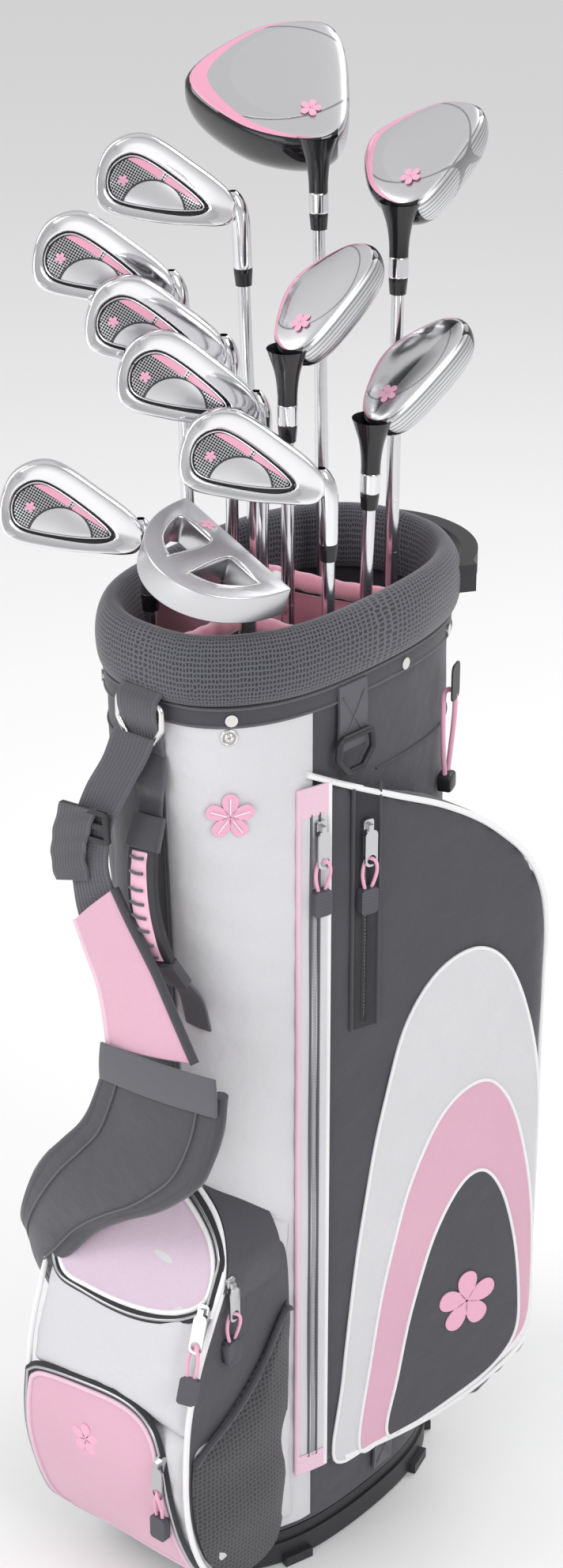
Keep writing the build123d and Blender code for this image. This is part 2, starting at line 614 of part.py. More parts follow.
# name: plan point on the floor, plan point at the mouth, butt raised above the floor,
# way the face looks in degrees, butt-to-hosel length
WOODS = {"driver": ((-19.4, 94.7), (-39.8, 97.2), 6, 40, 1060, (58, 56, 24, 98, 118, 58)),
         "fairway_wood": ((32.9, 79.8), (34.7, 87.8), 22, 0, 1012, (57, 56, 20, 64, 102, 40)),
         "hybrid_4": ((25.0, -18.0), (29.4, -27.5), 14, -10, 938, (58, 52, 18, 44, 98, 34)),
         "hybrid_5": ((40.0, 20.6), (65.9, 17.9), 1, -15, 896, (58, 52, 18, 42, 98, 33))}
IRONS = {"iron_6": ((-36.0, 58.5), (-63.5, 44.6), 161, 130, 871, (60, 58, 8, 1.0)),
         "iron_7": ((-32.0, -37.0), (-65.5, -28.1), 128, 130, 859, (60, 58, 8, 1.0)),
         "iron_8": ((-55.0, 8.0), (-35.7, -14.3), 100, 130, 846, (60, 58, 9, 1.0)),
         "iron_9": ((5.0, -37.0), (7.1, -30.6), 81, 130, 833, (60, 58, 10, 1.0)),
         "pitching_wedge": ((56.0, -9.0), (66.5, -26.3), 49, 130, 821, (60, 58, 10, 1.02)),
         "sand_wedge": ((-26.5, -100.6), (-45.0, -95.1), 9, 130, 814, (60, 58, 10, 1.02))}
PUTTER = ((31.7, -84.4), (46.9, -93.0), 16, 85, 800, (70, 54))


def save_club(name, plane, junction, head):
    shaft, grip = shaft_and_grip(junction)
    for piece, kind in ((head, "head"), (shaft, "shaft"), (grip, "grip")):
        save(plane.location * piece, f"{name}_{kind}")
    axis = plane.z_dir
    print(name, "axis", [round(v, 5) for v in axis])


for name, (floor, mouth_point, raised, facing, junction, shape) in WOODS.items():
    save_club(name, club_plane(floor, mouth_point, raised, facing), junction,
              wood_head(junction, *shape))
for name, (floor, mouth_point, raised, facing, junction, shape) in IRONS.items():
    save_club(name, club_plane(floor, mouth_point, raised, facing), junction,
              iron_head(junction, *shape))
floor, mouth_point, raised, facing, junction, shape = PUTTER
save_club("putter", club_plane(floor, mouth_point, raised, facing), junction,
          putter_head(junction, *shape))
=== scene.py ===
import json
import bpy
from math import atan2, cos, hypot, pi, radians, sin
from mathutils import Matrix, Vector

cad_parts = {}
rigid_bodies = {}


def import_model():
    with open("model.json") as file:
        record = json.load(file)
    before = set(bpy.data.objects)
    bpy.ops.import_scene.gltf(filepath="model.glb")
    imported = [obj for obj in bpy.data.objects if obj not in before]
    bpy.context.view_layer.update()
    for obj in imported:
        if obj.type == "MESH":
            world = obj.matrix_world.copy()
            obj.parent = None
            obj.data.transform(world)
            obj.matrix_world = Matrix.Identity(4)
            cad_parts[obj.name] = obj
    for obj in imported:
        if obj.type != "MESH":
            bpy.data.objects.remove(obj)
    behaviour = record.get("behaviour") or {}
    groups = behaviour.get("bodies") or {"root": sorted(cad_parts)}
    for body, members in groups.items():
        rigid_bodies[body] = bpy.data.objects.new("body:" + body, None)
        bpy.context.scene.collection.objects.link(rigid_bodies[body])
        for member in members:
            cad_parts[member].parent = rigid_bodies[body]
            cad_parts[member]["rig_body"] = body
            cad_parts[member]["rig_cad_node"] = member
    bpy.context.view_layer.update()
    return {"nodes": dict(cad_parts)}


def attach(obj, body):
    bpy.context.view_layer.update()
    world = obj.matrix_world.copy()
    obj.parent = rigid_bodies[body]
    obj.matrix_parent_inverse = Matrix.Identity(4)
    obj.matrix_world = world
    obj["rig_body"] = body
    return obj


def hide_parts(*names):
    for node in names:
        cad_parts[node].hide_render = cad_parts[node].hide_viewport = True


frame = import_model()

nodes = frame["nodes"]
mm = 0.001

# camera, floor and lights
studio = {"cameraAt": (1.3567, -1.6168, 1.6871), "turn": 40.0, "pitch": 25.9911, "lens": 70.12,
          "skyHigh": 1.0, "skyLow": 0.66, "worldStrength": 0.74, "floorColour": (0.9, 0.9, 0.9, 1)}


def deselectAll():
    if bpy.context.object and bpy.context.object.mode != "OBJECT":
        bpy.ops.object.mode_set(mode="OBJECT")
    bpy.ops.object.select_all(action="DESELECT")


def setUpStudio():
    deselectAll()
    bpy.ops.object.camera_add(location=studio["cameraAt"],
                              rotation=(radians(90 - studio["pitch"]), 0, radians(studio["turn"])))
    camera = bpy.context.object
    camera.data.lens = studio["lens"]
    camera.data.sensor_width = 36
    bpy.context.scene.camera = camera
    world = bpy.data.worlds.new("softWorld")
    bpy.context.scene.world = world
    world.use_nodes = True
    background = world.node_tree.nodes["Background"]
    sky = world.node_tree.nodes
    toward = sky.new("ShaderNodeTexCoord")
    height = sky.new("ShaderNodeSeparateXYZ")
    shade = sky.new("ShaderNodeMapRange")
    for socket, value in (("From Min", 0.0), ("From Max", 0.75), ("To Min", studio["skyLow"]),
                          ("To Max", studio["skyHigh"])):
        shade.inputs[socket].default_value = value
    world.node_tree.links.new(toward.outputs["Generated"], height.inputs[0])
    world.node_tree.links.new(height.outputs["Z"], shade.inputs["Value"])
    world.node_tree.links.new(shade.outputs[0], background.inputs["Color"])
    background.inputs["Strength"].default_value = studio["worldStrength"]
    for place, size, power, turn in (((-1.9, -2.2, 2.6), 1.8, 48, (52, 0, -42)),
                                     ((2.4, -0.6, 2.0), 1.2, 26, (58, 0, 76)),
                                     ((0.3, 2.2, 2.6), 1.6, 30, (-52, 0, 4)),
                                     ((0.2, -2.6, 0.7), 1.4, 10, (82, 0, 4))):
        bpy.ops.object.light_add(type="AREA", location=place,
                                 rotation=[radians(t) for t in turn])
        lamp = bpy.context.object
        lamp.data.size = size
        lamp.data.energy = power
    deselectAll()
    bpy.ops.mesh.primitive_plane_add(size=60, location=(0, 0, -0.0005))
    floor = bpy.context.object
    floor.name = "studioFloor"
    material = bpy.data.materials.new("floorPaint")
    material.use_nodes = True
    paint = material.node_tree.nodes["Principled BSDF"]
    paint.inputs["Base Color"].default_value = studio["floorColour"]
    paint.inputs["Roughness"].default_value = 0.9
    floor.data.materials.append(material)
    bpy.context.scene.view_settings.view_transform = "Standard"


setUpStudio()
print("studio ready")


# materials
# a material under construction: node() adds a node, wire() joins sockets
class Finish:

    def __init__(self, name, colour, rough, metal=0.0):
        self.material = bpy.data.materials.new(name)
        self.material.use_nodes = True
        self.tree = self.material.node_tree
        self.shader = self.tree.nodes["Principled BSDF"]
        self.shader.inputs["Base Color"].default_value = (*colour, 1)
        self.shader.inputs["Roughness"].default_value = rough
        self.shader.inputs["Metallic"].default_value = metal
        self.coordinates = self.node("ShaderNodeTexCoord")
        self.place = self.coordinates.outputs["Object"]

    def node(self, kind, **settings):
        made = self.tree.nodes.new(kind)
        for key, value in settings.items():
            if hasattr(made, key):
                setattr(made, key, value)
            else:
                made.inputs[key.replace("_", " ")].default_value = value
        return made

    def wire(self, start, end):
        self.tree.links.new(start, end)

    def math(self, operation, first, second=None, third=None, clamp=False):
        made = self.node("ShaderNodeMath", operation=operation, use_clamp=clamp)
        for socket, value in zip(made.inputs, (first, second, third)):
            if value is None:
                continue
            if isinstance(value, (int, float)):
                socket.default_value = value
            else:
                self.wire(value, socket)
        return made.outputs[0]

    def noise(self, scale, detail=3.0, source=None):
        made = self.node("ShaderNodeTexNoise", Scale=scale, Detail=detail)
        self.wire(source or self.place, made.inputs["Vector"])
        return made.outputs["Fac"]

    def split(self, source=None):
        made = self.node("ShaderNodeSeparateXYZ")
        self.wire(source or self.place, made.inputs[0])
        return made.outputs

    def colours(self, factor, first, second):
        made = self.node("ShaderNodeMix", data_type="RGBA")
        for socket, value in ((made.inputs[6], first), (made.inputs[7], second)):
            if isinstance(value, tuple):
                socket.default_value = (*value, 1)
            else:
                self.wire(value, socket)
        self.wire(factor, made.inputs[0])
        return made.outputs[2]

    def bump(self, height, strength, distance, under=None):
        made = self.node("ShaderNodeBump", Strength=strength, Distance=distance)
        self.wire(height, made.inputs["Height"])
        if under is not None:
            self.wire(under, made.inputs["Normal"])
        return made.outputs["Normal"]

    def setColour(self, source):
        self.wire(source, self.shader.inputs["Base Color"])

    def setRough(self, source):
        self.wire(source, self.shader.inputs["Roughness"])

    def setNormal(self, source):
        self.wire(source, self.shader.inputs["Normal"])


tones = {"charcoal": (0.050, 0.050, 0.062), "white": (0.66, 0.655, 0.68), "pink": (0.70, 0.40, 0.51),
         "lilac": (0.66, 0.52, 0.64), "dividerPink": (0.74, 0.30, 0.40), "black": (0.014, 0.014, 0.017),
         "webbing": (0.066, 0.066, 0.080), "loopPink": (0.82, 0.42, 0.56)}


# woven cloth: threads both ways, a coarser ripstop grid, and soft creases
def clothFinish(name, colour, weave=0.0009, ripstop=0.0, rough=0.72, sheen=0.25, crease=0.4):
    cloth = Finish(name, colour, rough)
    x, y, z = cloth.split()
    around = cloth.math("ADD", cloth.math("MULTIPLY", x, 0.75), cloth.math("MULTIPLY", y, 0.66))
    warp = cloth.math("SINE", cloth.math("MULTIPLY", around, 2 * pi / weave))
    weft = cloth.math("SINE", cloth.math("MULTIPLY", z, 2 * pi / weave))
    threads = cloth.math("MULTIPLY", warp, weft)
    cloud = cloth.noise(9, 4)
    speck = cloth.noise(900, 2)
    dark = tuple(c * 0.86 for c in colour)
    light = tuple(min(1, c * 1.1) for c in colour)
    shade = cloth.math("ADD", cloth.math("MULTIPLY", speck, 0.5), cloth.math("MULTIPLY", cloud, 0.5))
    cloth.setColour(cloth.colours(shade, dark, light))
    height = cloth.math("MULTIPLY", threads, 0.5)
    if ripstop:
        gridA = cloth.math("PINGPONG", around, ripstop)
        gridB = cloth.math("PINGPONG", z, ripstop)
        line = cloth.math("LESS_THAN", cloth.math("MINIMUM", gridA, gridB), ripstop * 0.13)
        height = cloth.math("ADD", height, line)
    fine = cloth.bump(height, 0.35, 0.0004)
    cloth.setNormal(cloth.bump(cloth.noise(26, 3), crease, 0.006, fine))
    cloth.shader.inputs["Sheen Weight"].default_value = sheen
    cloth.shader.inputs["Sheen Roughness"].default_value = 0.5
    return cloth.material


def plasticFinish(name, colour, rough=0.42, grain=0.2):
    plastic = Finish(name, colour, rough)
    plastic.setNormal(plastic.bump(plastic.noise(1400, 2), grain, 0.0003))
    wear = plastic.noise(30, 4)
    plastic.setColour(plastic.colours(wear, tuple(c * 0.85 for c in colour),
                                      tuple(min(1, c * 1.18 + 0.004) for c in colour)))
    plastic.setRough(plastic.math("ADD", plastic.math("MULTIPLY", wear, 0.16), rough - 0.08))
    return plastic.material


# plated steel with a faint haze, or brushed along the piece when streak is set
def metalFinish(name, colour, rough=0.16, streak=0.0):
    metal = Finish(name, colour, rough, 1.0)
    haze = metal.noise(60, 3)
    metal.setRough(metal.math("ADD", metal.math("MULTIPLY", haze, 0.1), rough - 0.03))
    if streak:
        x, y, z = metal.split()
        line = metal.node("ShaderNodeCombineXYZ")
        metal.wire(metal.math("MULTIPLY", x, 1600), line.inputs[0])
        metal.wire(metal.math("MULTIPLY", y, 1600), line.inputs[1])
        metal.wire(metal.math("MULTIPLY", z, 60), line.inputs[2])
        brushed = metal.noise(1, 3, line.outputs[0])
        metal.setNormal(metal.bump(brushed, streak, 0.0003))
    else:
        metal.setNormal(metal.bump(metal.noise(300, 2), 0.03, 0.0002))
    return metal.material


# spacer mesh on the piece's own UV, one cell to each few millimetres
def honeycombFinish(name, cells=(260, 42, 1), ground=(0.018, 0.018, 0.022), strand=(0.10, 0.10, 0.12),
                    onSide=False):
    comb = Finish(name, (0.05, 0.05, 0.06), 0.75)
    scaled = comb.node("ShaderNodeMapping")
    if onSide:
        x, y, z = comb.split()
        flat = comb.node("ShaderNodeCombineXYZ")
        comb.wire(y, flat.inputs[0])
        comb.wire(z, flat.inputs[1])
        comb.wire(flat.outputs[0], scaled.inputs[0])
    else:
        comb.wire(comb.coordinates.outputs["UV"], scaled.inputs[0])
    scaled.inputs["Scale"].default_value = cells
    pattern = comb.node("ShaderNodeTexVoronoi", voronoi_dimensions="2D", feature="DISTANCE_TO_EDGE",
                      Scale=1.0, Randomness=0.32)
    comb.wire(scaled.outputs[0], pattern.inputs["Vector"])
    wall = comb.math("LESS_THAN", pattern.outputs["Distance"], 0.17)
    comb.setColour(comb.colours(wall, ground, strand))
    comb.setNormal(comb.bump(wall, 0.8, 0.0012))
    comb.shader.inputs["Sheen Weight"].default_value = 0.3
    return comb.material


# ribbed webbing on the piece's own UV: ribs across, a bound edge each side
def webbingFinish(name, colour):
    web = Finish(name, colour, 0.7)
    u, v, w = web.split(web.coordinates.outputs["UV"])
    rib = web.math("SINE", web.math("MULTIPLY", v, 620))
    cross = web.math("SINE", web.math("MULTIPLY", u, 74))
    web.setNormal(web.bump(web.math("ADD", rib, cross), 0.5, 0.0005))
    edge = web.math("GREATER_THAN", web.math("ABSOLUTE", web.math("SUBTRACT", u, 0.5)), 0.42)
    bright = tuple(c * 1.5 for c in colour)
    web.setColour(web.colours(web.math("MULTIPLY", edge, web.noise(40)), colour, bright))
    web.shader.inputs["Sheen Weight"].default_value = 0.3
    return web.material


finishes = {
    "charcoal": clothFinish("charcoalRipstop", tones["charcoal"], ripstop=0.0024),
    "white": clothFinish("whiteCoatedCloth", tones["white"], weave=0.0007, rough=0.5, sheen=0.1,
                         crease=0.5),
    "pink": clothFinish("pinkPanelCloth", tones["pink"], rough=0.55),
    "lilac": clothFinish("lilacPanelCloth", tones["lilac"], rough=0.5),
    "dividerPink": clothFinish("dividerFleece", tones["dividerPink"], weave=0.002, rough=0.95,
                               sheen=0.8),
    "lining": clothFinish("darkLining", (0.02, 0.02, 0.024), rough=0.9),
    "piping": clothFinish("whitePiping", (0.86, 0.85, 0.86), weave=0.0012, rough=0.5, crease=0.1),
    "pinkPiping": clothFinish("pinkPiping", (0.80, 0.55, 0.66), weave=0.0012, crease=0.1),
    "binding": clothFinish("darkBinding", (0.045, 0.045, 0.054), weave=0.0016, crease=0.1),
    "elastic": clothFinish("elasticBand", (0.09, 0.09, 0.105), weave=0.0022, crease=0.1),
    "webbing": webbingFinish("ribbedWebbing", tones["webbing"]),
    "moulded": plasticFinish("mouldedBlack", (0.018, 0.018, 0.021), 0.45),
    "tip": plasticFinish("pullTipGrey", (0.085, 0.085, 0.10), 0.5, 0.3),
    "grip": plasticFinish("gripRubber", (0.020, 0.020, 0.023), 0.75, 0.5),
    "gripPink": plasticFinish("handleInsertPink", (0.80, 0.46, 0.58), 0.55, 0.3),
    "ferrule": plasticFinish("ferruleBlack", (0.012, 0.012, 0.014), 0.18, 0.05),
    "chrome": metalFinish("polishedChrome", (0.80, 0.80, 0.82), 0.10),
    "nickel": metalFinish("nickelPlate", (0.72, 0.71, 0.70), 0.2),
    "satin": metalFinish("satinSteel", (0.66, 0.66, 0.68), 0.3, 0.35),
    "putter": metalFinish("putterSatin", (0.62, 0.62, 0.64), 0.27, 0.2),
    "zipCoil": plasticFinish("zipCoilGrey", (0.34, 0.34, 0.36), 0.4, 0.1),
    "zipMetal": metalFinish("zipGunmetal", (0.5, 0.5, 0.52), 0.28),
    "mesh": honeycombFinish("collarSpacerMesh"),
    "loop": clothFinish("pullLoopPink", tones["loopPink"], weave=0.0014, crease=0.05),
}


# modelling helpers
# point at share (0 to 1) of a smooth curve through the points
def smoothPoint(points, share, closed=False):
    count = len(points)
    spans = count if closed else count - 1
    t = min(max(share, 0), 1) * spans
    i = min(int(t), spans - 1)
    t -= i

    def at(k):
        return Vector(points[k % count]) if closed else Vector(points[min(max(k, 0), count - 1)])
    a, b, c, d = at(i - 1), at(i), at(i + 1), at(i + 2)
    return 0.5 * (2 * b + (c - a) * t + (2 * a - 5 * b + 4 * c - d) * t * t
                  + (3 * b - a - 3 * c + d) * t * t * t)


def finishPiece(piece, finish, body, smooth=40, replaces=()):
    piece.data.materials.clear()
    piece.data.materials.append(finishes[finish] if isinstance(finish, str) else finish)
    deselectAll()
    piece.select_set(True)
    bpy.context.view_layer.objects.active = piece
    bpy.ops.object.transform_apply(location=True, rotation=True, scale=True)
    bpy.ops.object.shade_smooth_by_angle(angle=radians(smooth))
    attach(piece, body)
    if replaces:
        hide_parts(*replaces)
    return piece


# a grid primitive shaped by place(u, v), its seam welded, and given thickness
def wrapGrid(name, columns, rows, place, thick=0.0, outward=1.0, weld=True):
    deselectAll()
    bpy.ops.mesh.primitive_grid_add(x_subdivisions=columns, y_subdivisions=rows, size=2)
    piece = bpy.context.object
    piece.name = name
    for vertex in piece.data.vertices:
        vertex.co = place((vertex.co.x + 1) / 2, (vertex.co.y + 1) / 2)
    bpy.ops.object.mode_set(mode="EDIT")
    bpy.ops.mesh.select_all(action="SELECT")
    if weld:
        bpy.ops.mesh.remove_doubles(threshold=0.00002)
        bpy.ops.mesh.normals_make_consistent(inside=False)
    bpy.ops.object.mode_set(mode="OBJECT")
    if thick:
        addThickness(piece, thick, outward)
    return piece


def addThickness(piece, thick, offset=1.0):
    shell = piece.modifiers.new("thickness", "SOLIDIFY")
    shell.thickness = thick
    shell.offset = offset
    bpy.context.view_layer.objects.active = piece
    bpy.ops.object.modifier_apply(modifier="thickness")


def roundEdges(piece, width, segments=2, angle=35):
    rounding = piece.modifiers.new("rounding", "BEVEL")
    rounding.width = width
    rounding.segments = segments
    rounding.limit_method = "ANGLE"
    rounding.angle_limit = radians(angle)
    bpy.context.view_layer.objects.active = piece
    bpy.ops.object.modifier_apply(modifier="rounding")


# a flat piece cut to an outline (x, y) and set on a frame, with a softened rim
def slab(name, outline, thick, frameAt, inset=0.0, lift=0.0):
    deselectAll()
    bpy.ops.mesh.primitive_circle_add(vertices=len(outline), radius=1, fill_type="NGON")
    piece = bpy.context.object
    piece.name = name
    for vertex, (x, y) in zip(piece.data.vertices, outline):
        vertex.co = (x, y, 0)
    bpy.ops.object.mode_set(mode="EDIT")
    bpy.ops.mesh.select_all(action="SELECT")
    bpy.ops.mesh.normals_make_consistent(inside=False)
    bpy.ops.mesh.extrude_region_move(TRANSFORM_OT_translate={"value": (0, 0, thick)})
    if inset:
        bpy.ops.mesh.inset(thickness=inset, depth=lift)
    bpy.ops.mesh.select_all(action="SELECT")
    bpy.ops.mesh.normals_make_consistent(inside=False)
    bpy.ops.object.mode_set(mode="OBJECT")
    piece.data.transform(frameAt)
    piece.data.update()
    return piece


# a cord-like piping: a grid rolled round a smooth line through the points
def pipeAlong(name, points, radius, closed=False, samples=0, flat=1.0, up=None):
    steps = samples or max(12, 6 * len(points))
    line = [smoothPoint(points, i / steps, closed) for i in range(steps + (0 if closed else 1))]

    def place(u, v):
        k = round(v * steps)
        here = line[k % len(line)] if closed else line[k]
        ahead = line[(k + 1) % len(line)] if closed else line[min(k + 1, steps)]
        behind = line[(k - 1) % len(line)] if closed else line[max(k - 1, 0)]
        way = (ahead - behind).normalized()
        side = way.cross(Vector(up) if up else Vector((0.3, 0.5, 0.81))).normalized()
        top = side.cross(way)
        angle = 2 * pi * u
        return here + side * cos(angle) * radius + top * sin(angle) * radius * flat
    piece = wrapGrid(name, 8, steps, place)
    if not closed:
        bpy.ops.object.mode_set(mode="EDIT")
        bpy.ops.mesh.select_all(action="DESELECT")
        bpy.ops.mesh.select_non_manifold()
        bpy.ops.mesh.edge_face_add()
        bpy.ops.mesh.select_all(action="SELECT")
        bpy.ops.mesh.normals_make_consistent(inside=False)
        bpy.ops.object.mode_set(mode="OBJECT")
    return piece


# matrix of a frame from its origin, its x direction and roughly its y direction
def frameOf(origin, xWay, yWay):
    x = Vector(xWay).normalized()
    z = x.cross(Vector(yWay)).normalized()
    y = z.cross(x)
    return Matrix(((x.x, y.x, z.x, origin[0]), (x.y, y.y, z.y, origin[1]),
                   (x.z, y.z, z.z, origin[2]), (0, 0, 0, 1)))


# clubs
clubs = {
    "driver": {"floor": (-19.4, 94.7), "mouth": (-39.8, 97.2), "raised": 6, "facing": 40, "reach": 1060},
    "fairway_wood": {"floor": (32.9, 79.8), "mouth": (34.7, 87.8), "raised": 22, "facing": 0,
                     "reach": 1012},
    "hybrid_4": {"floor": (25.0, -18.0), "mouth": (29.4, -27.5), "raised": 14, "facing": -10,
                 "reach": 938},
    "hybrid_5": {"floor": (40.0, 20.6), "mouth": (65.9, 17.9), "raised": 1, "facing": -15,
                 "reach": 896},
    "iron_6": {"floor": (-36.0, 58.5), "mouth": (-63.5, 44.6), "raised": 161, "facing": 130,
               "reach": 871},
    "iron_7": {"floor": (-32.0, -37.0), "mouth": (-65.5, -28.1), "raised": 128, "facing": 130,
               "reach": 859},
    "iron_8": {"floor": (-55.0, 8.0), "mouth": (-35.7, -14.3), "raised": 100, "facing": 130,
               "reach": 846},
    "iron_9": {"floor": (5.0, -37.0), "mouth": (7.1, -30.6), "raised": 81, "facing": 130,
               "reach": 833},
    "pitching_wedge": {"floor": (56.0, -9.0), "mouth": (66.5, -26.3), "raised": 49, "facing": 130,
                       "reach": 821},
    "sand_wedge": {"floor": (-26.5, -100.6), "mouth": (-45.0, -95.1), "raised": 9, "facing": 130,
                   "reach": 814},
    "putter": {"floor": (31.7, -84.4), "mouth": (46.9, -93.0), "raised": 16, "facing": 85,
               "reach": 800},
}


# the club's own frame: butt at the origin, shaft along z, face towards x
def clubFrame(name):
    club = clubs[name]
    low = Vector((*club["floor"], 12)) * mm
    high = Vector((*club["mouth"], 820)) * mm
    z = (high - low).normalized()
    face = Vector((cos(radians(club["facing"])), sin(radians(club["facing"])), 0))
    y = z.cross(face).normalized()
    x = y.cross(z)
    origin = low + z * (club["raised"] + 0.2) * mm
    return Matrix(((x.x, y.x, z.x, origin.x), (x.y, y.y, z.y, origin.y),
                   (x.z, y.z, z.z, origin.z), (0, 0, 0, 1)))


# object coordinates turned into the club's or panel's own frame
def localPlace(finish, frameAt):
    mapping = finish.node("ShaderNodeMapping", vector_type="TEXTURE")
    mapping.inputs["Location"].default_value = frameAt.to_translation()
    mapping.inputs["Rotation"].default_value = frameAt.to_euler()
    finish.wire(finish.place, mapping.inputs[0])
    return finish.split(mapping.outputs[0])


# frame on the sole: x towards the face, y towards the toe, z out of the sole
def soleFrame(name, lie, hosel):
    toe = Vector((0, sin(radians(lie)), cos(radians(lie))))
    local = frameOf(Vector((0, 0, (clubs[name]["reach"] + hosel) * mm)), (1, 0, 0), toe)
    return clubFrame(name) @ local


woods = {"driver": {"hosel": 58, "lie": 56, "face": 24, "back": 98, "reach": 118, "deep": 58},
         "fairway_wood": {"hosel": 57, "lie": 56, "face": 20, "back": 64, "reach": 102, "deep": 40},
         "hybrid_4": {"hosel": 58, "lie": 52, "face": 18, "back": 44, "reach": 98, "deep": 34},
         "hybrid_5": {"hosel": 58, "lie": 52, "face": 18, "back": 42, "reach": 98, "deep": 33}}


# brushed sole with a pink rim at the back, a polished crescent, satin face, black crown
def woodFinish(name, wood, frameAt, mirrorSole):
    head = Finish(name + "Shell", (0.012, 0.012, 0.014), 0.14, 0.0)
    x, y, z = localPlace(head, frameAt)
    face, back, reach = (wood[k] * mm for k in ("face", "back", "reach"))
    u, v, w = head.split(head.coordinates.outputs["UV"])
    sole = head.math("LESS_THAN", v, 0.365)
    # the rim band is widest at the back and dies out towards the face
    behind = head.math("MULTIPLY", head.math("SUBTRACT", face * 0.1, x), 1 / back)
    bandWide = head.math("MULTIPLY", behind, 0.17, clamp=True)
    rim = head.math("GREATER_THAN", v, head.math("SUBTRACT", 0.365, bandWide))
    pinkRim = head.math("MULTIPLY", head.math("MULTIPLY", rim, sole), head.math("GREATER_THAN", behind, 0))
    # the polished crescent behind the middle of the sole
    dx = head.math("DIVIDE", head.math("ADD", x, back * 0.30), back * 0.62)
    dy = head.math("DIVIDE", head.math("SUBTRACT", y, reach * 0.52), reach * 0.40)
    first = head.math("ADD", head.math("POWER", head.math("ABSOLUTE", dx), 2.0),
                      head.math("POWER", head.math("ABSOLUTE", dy), 2.0))
    sx = head.math("ADD", dx, -0.42)
    second = head.math("ADD", head.math("POWER", head.math("ABSOLUTE", sx), 2.0),
                       head.math("POWER", head.math("ABSOLUTE", dy), 2.0))
    crescent = head.math("MULTIPLY", head.math("LESS_THAN", first, 1.0),
                         head.math("GREATER_THAN", second, 1.0))
    groove = head.math("LESS_THAN", head.math("ABSOLUTE", head.math("SUBTRACT", first, 1.0)), 0.035)
    faceArea = head.math("MULTIPLY", head.math("GREATER_THAN", x, face * 0.62),
                         head.math("LESS_THAN", v, 0.86))
    faceArea = head.math("MULTIPLY", faceArea, head.math("GREATER_THAN", v, 0.36))
    scoring = head.math("PINGPONG", z, 0.0016)
    scored = head.math("MULTIPLY", head.math("LESS_THAN", scoring, 0.00045), faceArea)
    bare = head.math("MAXIMUM", sole, faceArea)
    silver = (0.66, 0.66, 0.68)
    streak = head.node("ShaderNodeCombineXYZ")
    head.wire(head.math("MULTIPLY", x, 120), streak.inputs[0])
    head.wire(head.math("MULTIPLY", y, 2600), streak.inputs[1])
    brushed = head.noise(1.0, 3, streak.outputs[0])
    colour = head.colours(head.math("MULTIPLY", brushed, 0.4), silver, (0.82, 0.82, 0.83))
    colour = head.colours(scored, colour, (0.30, 0.30, 0.31))
    colour = head.colours(groove, colour, (0.35, 0.35, 0.36))
    colour = head.colours(pinkRim, colour, (0.80, 0.36, 0.50))
    colour = head.colours(bare, (0.012, 0.012, 0.014), colour)
    head.setColour(colour)
    metalness = head.math("MULTIPLY", bare, head.math("SUBTRACT", 1.0, pinkRim))
    head.wire(metalness, head.shader.inputs["Metallic"])
    polished = crescent
    if mirrorSole:
        polished = head.math("MULTIPLY", sole, head.math("GREATER_THAN", behind, 0.05))
    rough = head.math("MULTIPLY", bare, head.math("SUBTRACT", 0.27, head.math("MULTIPLY", polished, 0.21)))
    head.setRough(head.math("ADD", rough, 0.07))
    fine = head.bump(head.math("MULTIPLY", brushed, metalness), 0.08, 0.0003)
    cut = head.math("MAXIMUM", scored, groove)
    head.setNormal(head.bump(head.math("SUBTRACT", 1.0, cut), 0.5, 0.0006, fine))
    head.shader.inputs["Coat Weight"].default_value = 0.3
    head.shader.inputs["Coat Roughness"].default_value = 0.05
    return head.material


def makeWood(name, mirrorSole=False):
    wood = woods[name]
    frameAt = soleFrame(name, wood["lie"], wood["hosel"])
    face, back, reach, deep = (wood[k] * mm for k in ("face", "back", "reach", "deep"))
    outline = [(face, 0.5 * reach), (face * 0.78, 0.86 * reach), (0, reach),
               (-0.5 * back, 0.93 * reach), (-back, 0.52 * reach), (-0.62 * back, 0.1 * reach),
               (-0.1 * back, -0.05 * reach), (face * 0.8, 0.06 * reach)]
    outline = [Vector((x, y, 0)) for x, y in outline]
    middle = Vector((-0.3 * back, 0.5 * reach, 0))
    profile = [(0, 0.0022), (0.3, 0.002), (0.6, 0.0012), (0.82, 0), (0.92, -0.0014),
               (0.975, -0.004), (1.0, -0.10 * deep - 0.003), (1.0, -0.36 * deep),
               (0.955, -0.58 * deep), (0.84, -0.78 * deep), (0.62, -0.94 * deep),
               (0.34, -1.0 * deep), (0, -1.02 * deep)]

    def place(u, v):
        edge = smoothPoint(outline, u % 1.0, True)
        scale, height, _ = smoothPoint([(s, h, 0) for s, h in profile], v)
        return frameAt @ (middle + (edge - middle) * max(scale, 0) + Vector((0, 0, height)))
    shell = wrapGrid(name + "Shell", 72, 36, place)
    # the neck blends out of the heel as a flared cone
    neckAt = clubFrame(name) @ Matrix.Translation((0, 0, clubs[name]["reach"] * mm))
    neckRings = [(0, 6.9), (0.12, 7.0), (0.45, 7.3), (0.72, 9.2), (0.92, 12.5), (1.06, 15.0)]

    def neck(u, v):
        share, radius, _ = smoothPoint([(s, r, 0) for s, r in neckRings], v)
        return neckAt @ Vector((radius * mm * cos(2 * pi * u), radius * mm * sin(2 * pi * u),
                                share * (wood["hosel"] - 5) * mm))
    cone = wrapGrid(name + "Neck", 40, 16, neck)
    finishPiece(shell, woodFinish(name, wood, frameAt, mirrorSole), name, 60, (name + "_head",))
    finishPiece(cone, neckFinish, name, 60)
    silverBand(name, -0.5, 15.5)
    blossom(name + "Motif", frameAt @ frameOf(Vector((-0.05 * back, 0.20 * reach, 0.0021)),
                                              (0.6, 0.8, 0), (-0.8, 0.6, 0)), 0.0085, name)


